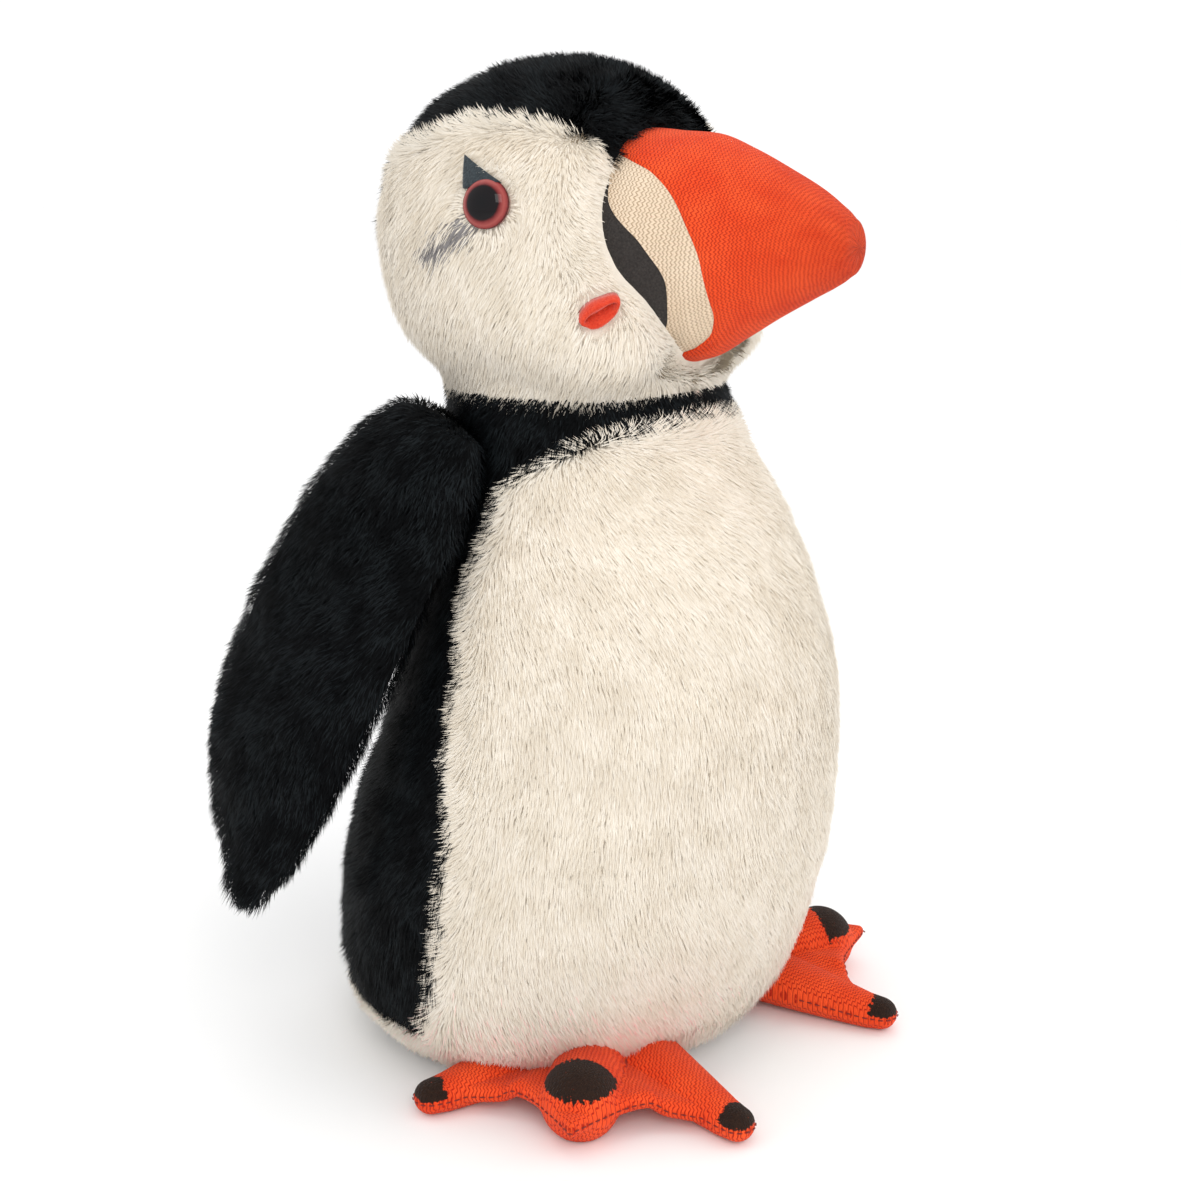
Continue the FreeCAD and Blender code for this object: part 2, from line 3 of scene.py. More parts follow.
import bpy
import numpy as np
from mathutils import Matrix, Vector


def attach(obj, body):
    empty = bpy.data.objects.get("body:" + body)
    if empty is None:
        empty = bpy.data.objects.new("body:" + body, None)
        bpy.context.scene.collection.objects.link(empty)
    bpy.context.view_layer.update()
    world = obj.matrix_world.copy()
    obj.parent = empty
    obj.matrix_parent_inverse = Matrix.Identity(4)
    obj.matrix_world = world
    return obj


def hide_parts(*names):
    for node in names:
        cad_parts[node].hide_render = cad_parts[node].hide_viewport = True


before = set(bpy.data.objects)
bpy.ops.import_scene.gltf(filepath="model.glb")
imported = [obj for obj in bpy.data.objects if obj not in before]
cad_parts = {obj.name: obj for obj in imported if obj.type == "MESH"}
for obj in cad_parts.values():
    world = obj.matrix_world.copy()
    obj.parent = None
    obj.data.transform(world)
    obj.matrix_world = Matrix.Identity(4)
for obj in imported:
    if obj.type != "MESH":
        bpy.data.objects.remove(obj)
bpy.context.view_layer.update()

MM = 0.001
UP = np.array([0.0, 0.0, 1.0])

# Sizes in millimetres. The bird faces -Y and its right side is -X.
HEAD_MIDDLE = np.array([0.0, 12.8, 224.6])
SKULL_HALF = np.array([49.5, 51.0, 45.0])
JOWL_MIDDLE = np.array([0.0, 8.0, 207.0])
JOWL_HALF = np.array([46.5, 48.0, 26.0])
NECK_PIVOT = np.array([0.0, 6.0, 224.6])
NECK_RADIUS = 38.0
SEAT_RADIUS = 54.8
PILE_DEPTH = 2.4

# Torso: height, half width, half depth, middle's y.
TORSO = np.array(
    [
        (0.0, 37.0, 34.0, 8.0),
        (4.0, 57.0, 50.0, 9.0),
        (10.0, 66.0, 57.0, 9.5),
        (20.0, 72.0, 62.0, 9.0),
        (35.0, 74.5, 65.5, 7.0),
        (50.0, 75.0, 66.5, 4.0),
        (70.0, 72.0, 65.5, 0.0),
        (90.0, 67.5, 62.0, -4.5),
        (110.0, 62.5, 59.0, -6.5),
        (130.0, 55.5, 54.5, -6.5),
        (150.0, 48.5, 48.0, -4.0),
        (165.0, 42.5, 42.0, -0.5),
        (175.0, 40.0, 39.5, 2.5),
        (190.0, 38.6, 38.5, 6.0),
    ]
)
# Where the white belly gives way to the black back: height, degrees round from the front.
BELLY_EDGE = np.array(
    [
        (0, 85), (23, 85), (31, 82.5), (44, 83), (52, 82), (59, 84), (67, 84), (79, 86), (94, 93),
        (111, 95), (121, 95), (129, 100), (142, 99), (149, 94), (159, 92), (164, 88), (168, 76),
        (173, 60), (176.5, 44), (178.6, 22), (179.8, 0),
    ],
    float,
)
BACK_HEM = 18.0
# Where the white cheeks give way to the black crown: degrees round from the front, degrees up.
CROWN_EDGE = np.array(
    [
        (0, 28), (9, 28), (22, 27), (33, 25), (38, 32), (52, 35), (67, 38), (89, 39), (97, 36),
        (106, 32), (132, 27), (140, 18), (147, -20), (152, -60), (180, -80),
    ],
    float,
)
# Beak: y, half height, half width, middle's height.
BEAK = np.array(
    [
        (-10.0, 30.5, 31.0, 221.0),
        (-24.0, 29.5, 27.5, 221.0),
        (-36.0, 27.8, 21.0, 222.0),
        (-46.0, 23.4, 16.8, 223.2),
        (-56.0, 18.3, 13.4, 224.0),
        (-66.0, 13.2, 10.2, 224.3),
        (-71.5, 10.0, 8.2, 224.0),
        (-75.5, 7.0, 6.0, 223.8),
        (-78.2, 0.0, 0.0, 223.6),
    ]
)
# Edges of the sewn beak panels: degrees round from the ridge, y.
BAND_FRONT = np.array(
    [
        (30, -12), (36, -18.7), (47, -29.5), (71, -38.9), (100, -44.0), (131, -44.9), (148, -42.5),
        (154, -38.0), (158, -30.0), (162, -12),
    ],
    float,
)
BAND_BACK = np.array(
    [
        (44, -12), (49, -19.3), (64, -21.8), (86, -30.9), (108, -35.7), (126, -34.5), (140, -30.5),
        (148, -22.0), (153, -12),
    ],
    float,
)
# Wing in its own frame: height, half chord, half thickness, bulge outwards, shift backwards.
WING = np.array(
    [
        (7.5, 13.0, 3.5, 0.0, 2.0),
        (3.5, 18.5, 7.0, 0.0, 3.0),
        (-8.0, 23.6, 8.5, -1.0, 4.2),
        (-30.0, 27.6, 9.0, -4.5, 5.2),
        (-60.0, 28.6, 9.5, -6.0, 5.6),
        (-90.0, 26.2, 9.5, -5.0, 5.4),
        (-113.0, 19.2, 8.0, -2.5, 3.4),
        (-127.0, 10.5, 6.0, -1.0, 0.0),
        (-134.0, 5.0, 3.5, 0.0, -1.0),
    ]
)
SHOULDER = np.array([-43.0, 20.0, 171.0])
WING_SWING = math.radians(18.5)
WING_SWEEP = math.radians(16.5)
ANKLE = np.array([-27.0, -22.0, 0.0])
FOOT_SPLAY = math.radians(-61.0)
# Toes: degrees from the middle toe, length, root radius, tip radius.
TOES = [(50.0, 52.5, 12.0, 4.7), (0.0, 36.0, 9.0, 10.5), (-50.0, 52.5, 12.0, 4.7)]
EYE_BEARING = 74.0
EYE_RISE = 10.4
EYE_RADIUS = 6.2
STREAK = [(81.0, 4.0), (87.0, 1.4), (95.0, -2.4)]
FELT_CORNERS = [(83.5, 24.5), (81.5, 14.5), (69.5, 16.5)]
ROSETTE = (41.3, -17.5)


def smooth_curve(table, at, column=1):
    """A smooth line through the points of a table, without overshoot."""
    order = np.argsort(table[:, 0])
    xs, ys = table[order, 0], table[order, column]
    at = np.asarray(at, float)
    step = np.diff(xs)
    slope = np.diff(ys) / step
    same_way = slope[:-1] * slope[1:] > 0
    total = np.where(same_way, slope[:-1] + slope[1:], 1.0)
    inner = np.where(same_way, 2 * slope[:-1] * slope[1:] / total, 0.0)
    tangent = np.concatenate([slope[:1], inner, slope[-1:]])
    cell = np.clip(np.searchsorted(xs, at) - 1, 0, len(step) - 1)
    wide = step[cell]
    t = np.clip((at - xs[cell]) / wide, 0, 1)
    from_left = (1 + 2 * t) * (1 - t) ** 2 * ys[cell] + t * (1 - t) ** 2 * wide * tangent[cell]
    from_right = t * t * (3 - 2 * t) * ys[cell + 1] - t * t * (1 - t) * wide * tangent[cell + 1]
    return from_left + from_right


def straight_curve(table, at):
    return np.interp(at, table[:, 0], table[:, 1])


def unit(vectors):
    return vectors / np.maximum(np.linalg.norm(vectors, axis=-1, keepdims=True), 1e-9)


def ease(value, low, high):
    """0 below low, 1 above high, smooth between."""
    t = np.clip((value - low) / (high - low), 0, 1)
    return t * t * (3 - 2 * t)


def lumps(points, size, seed):
    """Gentle unevenness between -1 and 1, from a few crossed waves."""
    rng = np.random.default_rng(seed)
    total = np.zeros(points.shape[:-1])
    for _ in range(6):
        way = unit(rng.normal(size=3)) / size
        total += np.sin(points @ way * 2 * math.pi * rng.uniform(0.7, 1.4) + rng.uniform(0, 6.3))
    return total / 3.5


def turn_about(axis, angle):
    c, s = math.cos(angle), math.sin(angle)
    if axis == "x":
        return np.array([[1, 0, 0], [0, c, -s], [0, s, c]])
    if axis == "y":
        return np.array([[c, 0, s], [0, 1, 0], [-s, 0, c]])
    return np.array([[c, -s, 0], [s, c, 0], [0, 0, 1]])


WING_TURN = turn_about("y", WING_SWING) @ turn_about("x", WING_SWEEP)
FOOT_TURN = turn_about("z", FOOT_SPLAY)


# ---------------------------------------------------------------- meshes


def show(name, verts, faces, uv=None):
    """A new object from points in millimetres, faces and a texture position per face corner."""
    mesh = bpy.data.meshes.new(name)
    mesh.from_pydata((np.asarray(verts) * MM).tolist(), [], faces)
    mesh.polygons.foreach_set("use_smooth", np.ones(len(mesh.polygons), bool))
    if uv is not None:
        layer = mesh.uv_layers.new(name="weave")
        layer.data.foreach_set("uv", np.asarray(uv, np.float32).ravel())
    mesh.update()
    thing = bpy.data.objects.new(name, mesh)
    bpy.context.scene.collection.objects.link(thing)
    return thing


def grid_object(name, points, around=False, uv=None, caps=(False, False), inner=None):
    """A sheet of quads through rows of points, closed round and capped on request, facing outwards."""
    rows, columns = points.shape[:2]
    verts = points.reshape(-1, 3)
    across = columns if around else columns - 1
    faces = []
    corners = []
    for r in range(rows - 1):
        for c in range(across):
            d = (c + 1) % columns
            faces.append([r * columns + c, r * columns + d, (r + 1) * columns + d, (r + 1) * columns + c])
            corners.append([(r, c), (r, c + 1), (r + 1, c + 1), (r + 1, c)])
    extra = []
    for end, wanted in zip((0, rows - 1), caps):
        if not wanted:
            continue
        middle = len(verts) + len(extra)
        extra.append(points[end].mean(0))
        for c in range(across):
            d = (c + 1) % columns
            edge = [end * columns + c, end * columns + d]
            faces.append([middle, edge[1], edge[0]] if end == 0 else [middle, edge[0], edge[1]])
            corners.append(
                [(end, c), (end, c + 1), (end, c)] if end == 0 else [(end, c), (end, c), (end, c + 1)]
            )
    if extra:
        verts = np.vstack([verts, extra])
    flat_uv = None
    if uv is not None:
        flat_uv = [uv[r][min(c, uv.shape[1] - 1)] for face in corners for r, c in face]
    thing = show(name, verts, faces, flat_uv)
    centre = np.asarray(inner if inner is not None else verts.mean(0)) * MM
    turn_outwards(thing, centre)
    return thing


def turn_outwards(thing, centre):
    mesh = thing.data
    normals = np.zeros(len(mesh.polygons) * 3)
    middles = np.zeros(len(mesh.polygons) * 3)
    areas = np.zeros(len(mesh.polygons))
    mesh.polygons.foreach_get("normal", normals)
    mesh.polygons.foreach_get("center", middles)
    mesh.polygons.foreach_get("area", areas)
    away = ((middles.reshape(-1, 3) - centre) * normals.reshape(-1, 3)).sum(1)
    if (away * areas).sum() < 0:
        mesh.flip_normals()


def vertex_points(thing):
    co = np.zeros(len(thing.data.vertices) * 3)
    thing.data.vertices.foreach_get("co", co)
    return co.reshape(-1, 3) / MM


def vertex_normals(thing):
    values = np.zeros(len(thing.data.vertices) * 3)
    thing.data.vertex_normals.foreach_get("vector", values)
    return values.reshape(-1, 3)


def store(thing, name, values):
    """Keep a number or a vector at every vertex under a name."""
    values = np.asarray(values, np.float32)
    if values.ndim == 1:
        thing.data.attributes.new(name, "FLOAT", "POINT").data.foreach_set("value", values)
    else:
        thing.data.attributes.new(name, "FLOAT_VECTOR", "POINT").data.foreach_set("vector", values.ravel())


def mirrored(points):
    return np.asarray(points) * np.array([-1.0, 1.0, 1.0])


def fill_inside(padding, name, body, node, depth=1.1):
    """Loose stuffing that fills a padded skin, as one closed lump just inside it."""
    verts = vertex_points(padding) - vertex_normals(padding) * depth
    lump = show(name, verts, [list(face.vertices) for face in padding.data.polygons])
    return keep(lump, body, STUFFING, [node])


def keep(thing, body, material=None, replaces=()):
    """Finish a piece: its material, the body it moves with, and what it stands for."""
    if material is not None:
        thing.data.materials.clear()
        thing.data.materials.append(material)
    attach(thing, body)
    if replaces:
        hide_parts(*replaces)
    return thing


# ---------------------------------------------------------------- materials


def add_node(tree, kind, settings=None, **inputs):
    """A node with its settings and the values or links of its inputs."""
    made = tree.nodes.new(kind)
    for key, value in (settings or {}).items():
        setattr(made, key, value)
    for key, value in inputs.items():
        numbered = key[0] == "i" and key[1:].isdigit()
        socket = made.inputs[int(key[1:]) if numbered else key.replace("_", " ")]
        if isinstance(value, bpy.types.NodeSocket):
            tree.links.new(value, socket)
        else:
            socket.default_value = value
    return made


def maths(tree, operation, *values, clamp=False):
    made = tree.nodes.new("ShaderNodeMath")
    made.operation = operation
    made.use_clamp = clamp
    for socket, value in zip(made.inputs, values):
        if isinstance(value, bpy.types.NodeSocket):
            tree.links.new(value, socket)
        else:
            socket.default_value = value
    return made.outputs[0]


def mix_colour(tree, share, first, second):
    made = tree.nodes.new("ShaderNodeMix")
    made.data_type = "RGBA"
    sockets = [s for s in made.inputs if s.enabled and s.type == "RGBA"]
    factor = [s for s in made.inputs if s.enabled and s.type == "VALUE"][0]
    for socket, value in ((factor, share), (sockets[0], first), (sockets[1], second)):
        if isinstance(value, bpy.types.NodeSocket):
            tree.links.new(value, socket)
        elif socket.type == "RGBA":
            socket.default_value = (*value, 1.0)
        else:
            socket.default_value = value
    return [s for s in made.outputs if s.enabled and s.type == "RGBA"][0]


def new_material(name, colour, roughness, **constants):
    made = bpy.data.materials.new(name)
    made.use_nodes = True
    shader = made.node_tree.nodes["Principled BSDF"]
    shader.inputs["Base Color"].default_value = (*colour, 1.0)
    shader.inputs["Roughness"].default_value = roughness
    for key, value in constants.items():
        shader.inputs[key.replace("_", " ")].default_value = value
    return made, made.node_tree, shader


def new_group(name, inputs, outputs):
    """A shared group of shader nodes with named sockets."""
    group = bpy.data.node_groups.new(name, "ShaderNodeTree")
    for label, kind, default in inputs:
        socket = group.interface.new_socket(label, in_out="INPUT", socket_type=kind)
        if default is not None:
            socket.default_value = default
    for label, kind in outputs:
        group.interface.new_socket(label, in_out="OUTPUT", socket_type=kind)
    start = group.nodes.new("NodeGroupInput")
    end = group.nodes.new("NodeGroupOutput")
    return group, start.outputs, end.inputs


def knit_group():
    """Zig-zag ribs of a warp knit: how high the yarn stands, and how strongly painted shade darkens the gaps
    between the ribs.
    """
    group, given, result = new_group(
        "knit_ribs",
        [
            ("Place", "NodeSocketVector", None),
            ("Rib Width", "NodeSocketFloat", 1.0),
            ("Row Height", "NodeSocketFloat", 1.1),
        ],
        [("Yarn", "NodeSocketFloat"), ("Gap Shade", "NodeSocketFloat"), ("Wear", "NodeSocketFloat")],
    )
    split = add_node(group, "ShaderNodeSeparateXYZ", Vector=given["Place"])
    warp = add_node(group, "ShaderNodeTexNoise", Vector=given["Place"], Scale=0.35, Detail=2.0)
    drift = maths(group, "MULTIPLY", maths(group, "SUBTRACT", warp.outputs["Fac"], 0.5), 1.3)
    row = maths(group, "DIVIDE", split.outputs["Y"], given["Row Height"])
    sway = maths(group, "PINGPONG", row, 0.5)
    rib = maths(group, "DIVIDE", maths(group, "ADD", split.outputs["X"], drift), given["Rib Width"])
    lean = maths(group, "ADD", rib, maths(group, "MULTIPLY", sway, 1.05))
    arch = maths(group, "ABSOLUTE", maths(group, "SINE", maths(group, "MULTIPLY", lean, math.pi)))
    loop = maths(group, "ABSOLUTE", maths(group, "SINE", maths(group, "MULTIPLY", row, 2 * math.pi)))
    yarn = maths(group, "MULTIPLY_ADD", arch, 0.7, maths(group, "MULTIPLY", loop, 0.3))
    fluff = add_node(group, "ShaderNodeTexNoise", Vector=given["Place"], Scale=3.2, Detail=4.0)
    uneven = maths(group, "MULTIPLY", maths(group, "SUBTRACT", fluff.outputs["Fac"], 0.5), 0.5)
    group.links.new(maths(group, "ADD", yarn, uneven), result["Yarn"])
    # Painted shade: the gaps between the ribs, deeper at the loops, get the darker gap colour.
    low = maths(group, "SUBTRACT", 0.56, maths(group, "ADD", arch, maths(group, "MULTIPLY", uneven, 0.6)))
    hole = maths(group, "MULTIPLY", low, 3.2, clamp=True)
    depth = maths(group, "MULTIPLY_ADD", loop, 0.45, 0.55)
    group.links.new(maths(group, "MULTIPLY", hole, depth), result["Gap Shade"])
    broad = add_node(group, "ShaderNodeTexNoise", Vector=given["Place"], Scale=0.09, Detail=3.0)
    group.links.new(broad.outputs["Fac"], result["Wear"])
    return group


KNIT = knit_group()


def knit_material(name, light, deep, gap, strength=0.8):
    """Ribbed knit that follows the piece's own weave map, in millimetres; the gap colour is painted shade in
    the gaps between the ribs.
    """
    made, tree, shader = new_material(
        name, light, 0.85, Sheen_Weight=0.05, Sheen_Roughness=0.45, Specular_IOR_Level=0.14
    )
    place = add_node(tree, "ShaderNodeUVMap", {"uv_map": "weave"})
    ribs = tree.nodes.new("ShaderNodeGroup")
    ribs.node_tree = KNIT
    tree.links.new(place.outputs[0], ribs.inputs["Place"])
    wear = maths(tree, "MULTIPLY_ADD", ribs.outputs["Wear"], 2.4, -0.7, clamp=True)
    tone = mix_colour(tree, wear, deep, light)
    # Painted shade: the gap colour darkens the gaps between the ribs.
    colour = mix_colour(tree, ribs.outputs["Gap Shade"], tone, gap)
    tree.links.new(colour, shader.inputs["Base Color"])
    bump = add_node(tree, "ShaderNodeBump", Strength=strength, Distance=0.0004, Height=ribs.outputs["Yarn"])
    tree.links.new(bump.outputs["Normal"], shader.inputs["Normal"])
    return made, tree, shader, colour


def plush_backing(name, light, dark):
    """The knitted ground that the pile grows from, white or black as the panel is."""
    made, tree, shader = new_material(name, light, 0.9, Specular_IOR_Level=0.2)
    panel = add_node(tree, "ShaderNodeAttribute", {"attribute_name": "dark_panel"})
    place = add_node(tree, "ShaderNodeTexCoord")
    mottle = add_node(tree, "ShaderNodeTexNoise", Vector=place.outputs["Object"], Scale=420.0, Detail=4.0)
    pale = mix_colour(tree, mottle.outputs["Fac"], tuple(0.88 * c for c in light), light)
    deep = mix_colour(tree, mottle.outputs["Fac"], tuple(0.5 * c for c in dark), dark)
    colour = mix_colour(tree, panel.outputs["Fac"], pale, deep)
    tree.links.new(colour, shader.inputs["Base Color"])
    bump = add_node(tree, "ShaderNodeBump", Strength=0.5, Distance=0.0006, Height=mottle.outputs["Fac"])
    tree.links.new(bump.outputs["Normal"], shader.inputs["Normal"])
    return made


def felt_material(name, light, deep):
    made, tree, shader = new_material(name, light, 0.95, Sheen_Weight=0.3, Specular_IOR_Level=0.15)
    place = add_node(tree, "ShaderNodeTexCoord")
    fibres = add_node(tree, "ShaderNodeTexNoise", Vector=place.outputs["Object"], Scale=1900.0, Detail=6.0)
    patches = add_node(tree, "ShaderNodeTexNoise", Vector=place.outputs["Object"], Scale=260.0, Detail=2.0)
    blend = maths(tree, "MULTIPLY_ADD", fibres.outputs["Fac"], 1.6, -0.4, clamp=True)
    tone = mix_colour(tree, blend, deep, light)
    colour = mix_colour(tree, maths(tree, "MULTIPLY", patches.outputs["Fac"], 0.5), tone, deep)
    tree.links.new(colour, shader.inputs["Base Color"])
    bump = add_node(tree, "ShaderNodeBump", Strength=0.6, Distance=0.0004, Height=fibres.outputs["Fac"])
    tree.links.new(bump.outputs["Normal"], shader.inputs["Normal"])
    return made


def eye_material():
    """Clear dark red rim round a glossy black pupil, moulded as one button."""
    made, tree, shader = new_material(
        "eye_button", (0.01, 0.01, 0.01), 0.05, Specular_IOR_Level=0.22, IOR=1.45
    )
    ring = add_node(tree, "ShaderNodeAttribute", {"attribute_name": "from_middle"})
    place = add_node(tree, "ShaderNodeTexCoord")
    grain = add_node(tree, "ShaderNodeTexNoise", Vector=place.outputs["Object"], Scale=900.0, Detail=3.0)
    wobble = maths(tree, "MULTIPLY_ADD", grain.outputs["Fac"], 0.05, -0.025)
    where = maths(tree, "ADD", ring.outputs["Fac"], wobble)
    ramp = add_node(tree, "ShaderNodeValToRGB", Fac=where)
    stops = [
        (0.0, (0.004, 0.004, 0.005)),
        (0.66, (0.006, 0.004, 0.005)),
        (0.69, (0.05, 0.005, 0.006)),
        (0.76, (0.20, 0.028, 0.028)),
        (0.87, (0.33, 0.07, 0.062)),
        (0.95, (0.26, 0.04, 0.038)),
        (1.0, (0.07, 0.01, 0.012)),
    ]
    bar = ramp.color_ramp
    bar.elements[0].position = stops[0][0]
    bar.elements[0].color = (*stops[0][1], 1.0)
    bar.elements[1].position = stops[-1][0]
    bar.elements[1].color = (*stops[-1][1], 1.0)
    for position, colour in stops[1:-1]:
        bar.elements.new(position).color = (*colour, 1.0)
    tree.links.new(ramp.outputs["Color"], shader.inputs["Base Color"])
    return made


def plain_material(name, light, deep, scale, roughness, lumpy=0.4):
    """Moulded, woven or loose material of the pieces inside."""
    made, tree, shader = new_material(name, light, roughness)
    place = add_node(tree, "ShaderNodeTexCoord")
    mottle = add_node(tree, "ShaderNodeTexNoise", Vector=place.outputs["Object"], Scale=scale, Detail=5.0)
    colour = mix_colour(tree, mottle.outputs["Fac"], deep, light)
    tree.links.new(colour, shader.inputs["Base Color"])
    bump = add_node(tree, "ShaderNodeBump", Strength=lumpy, Distance=0.0008, Height=mottle.outputs["Fac"])
    tree.links.new(bump.outputs["Normal"], shader.inputs["Normal"])
    return made


def fibre_material(name, colour, roughness, sheen, tint):
    made, _, shader = new_material(name, colour, roughness, Sheen_Weight=sheen, Sheen_Roughness=0.5)
    shader.inputs["Sheen Tint"].default_value = (*tint, 1.0)
    shader.inputs["Specular IOR Level"].default_value = 0.06
    return made


# The third colour of each knit is painted shade for the gaps between the ribs.
ORANGE_KNIT, _, _, _ = knit_material(
    "orange_knit", (0.90, 0.100, 0.024), (0.76, 0.058, 0.012), (0.40, 0.012, 0.004)
)
CREAM_KNIT, _, _, _ = knit_material(
    "cream_knit", (0.82, 0.67, 0.51), (0.74, 0.58, 0.42), (0.42, 0.29, 0.18)
)
BACKING = plush_backing("plush_backing", (0.81, 0.74, 0.64), (0.006, 0.007, 0.008))
SLATE_FELT = felt_material("slate_felt", (0.055, 0.075, 0.085), (0.015, 0.02, 0.025))
ORANGE_FELT = felt_material("orange_felt", (0.85, 0.10, 0.04), (0.55, 0.03, 0.012))
DARK_NAP = felt_material("dark_nap", (0.060, 0.052, 0.048), (0.018, 0.015, 0.014))
EYE_BUTTON = eye_material()
STUFFING = plain_material("stuffing_fibre", (0.92, 0.92, 0.90), (0.75, 0.75, 0.73), 260.0, 0.95)
WASHER = plain_material("moulded_washer", (0.86, 0.86, 0.84), (0.80, 0.80, 0.78), 500.0, 0.45, 0.1)
POUCH = plain_material("pouch_cloth", (0.76, 0.75, 0.71), (0.62, 0.61, 0.57), 1500.0, 0.9)

WHITE_PILE = [
    fibre_material("white_pile", (0.815, 0.745, 0.638), 0.8, 0.0, (1.0, 0.97, 0.92)),
    fibre_material("white_pile_bright", (0.862, 0.800, 0.705), 0.8, 0.0, (1.0, 0.98, 0.95)),
    fibre_material("white_pile_warm", (0.772, 0.695, 0.580), 0.8, 0.0, (1.0, 0.95, 0.88)),
]
BLACK_PILE = [
    fibre_material("black_pile", (0.0035, 0.0042, 0.005), 0.6, 0.0, (0.6, 0.8, 1.0)),
    fibre_material("black_pile_sheen", (0.011, 0.014, 0.016), 0.55, 0.0, (0.7, 0.85, 1.0)),
    fibre_material("black_pile_deep", (0.0018, 0.002, 0.0025), 0.7, 0.0, (0.6, 0.8, 1.0)),
]
DARK_THREAD = plain_material("dark_thread", (0.26, 0.018, 0.010), (0.12, 0.008, 0.006), 2200.0, 0.8)
RIDGE_THREAD = plain_material("ridge_thread", (0.62, 0.05, 0.014), (0.42, 0.025, 0.008), 2200.0, 0.8)
SOOT = fibre_material("grey_marked_pile", (0.26, 0.245, 0.245), 0.8, 0.0, (1.0, 1.0, 1.0))
# Pink strands low on the white pile's front, over the orange feet: painted reflection of the feet's orange
# light.
FEET_REFLECTION_PILE = fibre_material("pink_feet_reflection_pile", (0.92, 0.66, 0.60), 0.6, 0.1, (1.0, 0.9, 0.9))


# ---------------------------------------------------------------- pile


def fibre_object():
    """One short tapered strand of pile, a millimetre wide and long, that bows as it falls over."""
    verts = np.array([(0, 0, 0), (0.5, 0.11, 0.42), (-0.5, 0.11, 0.42), (0, 0, 1)], float)
    thing = show("strand", verts / MM, [[0, 2, 1], [2, 3, 1]])
    thing.hide_render = True
    return thing


STRAND = fibre_object()


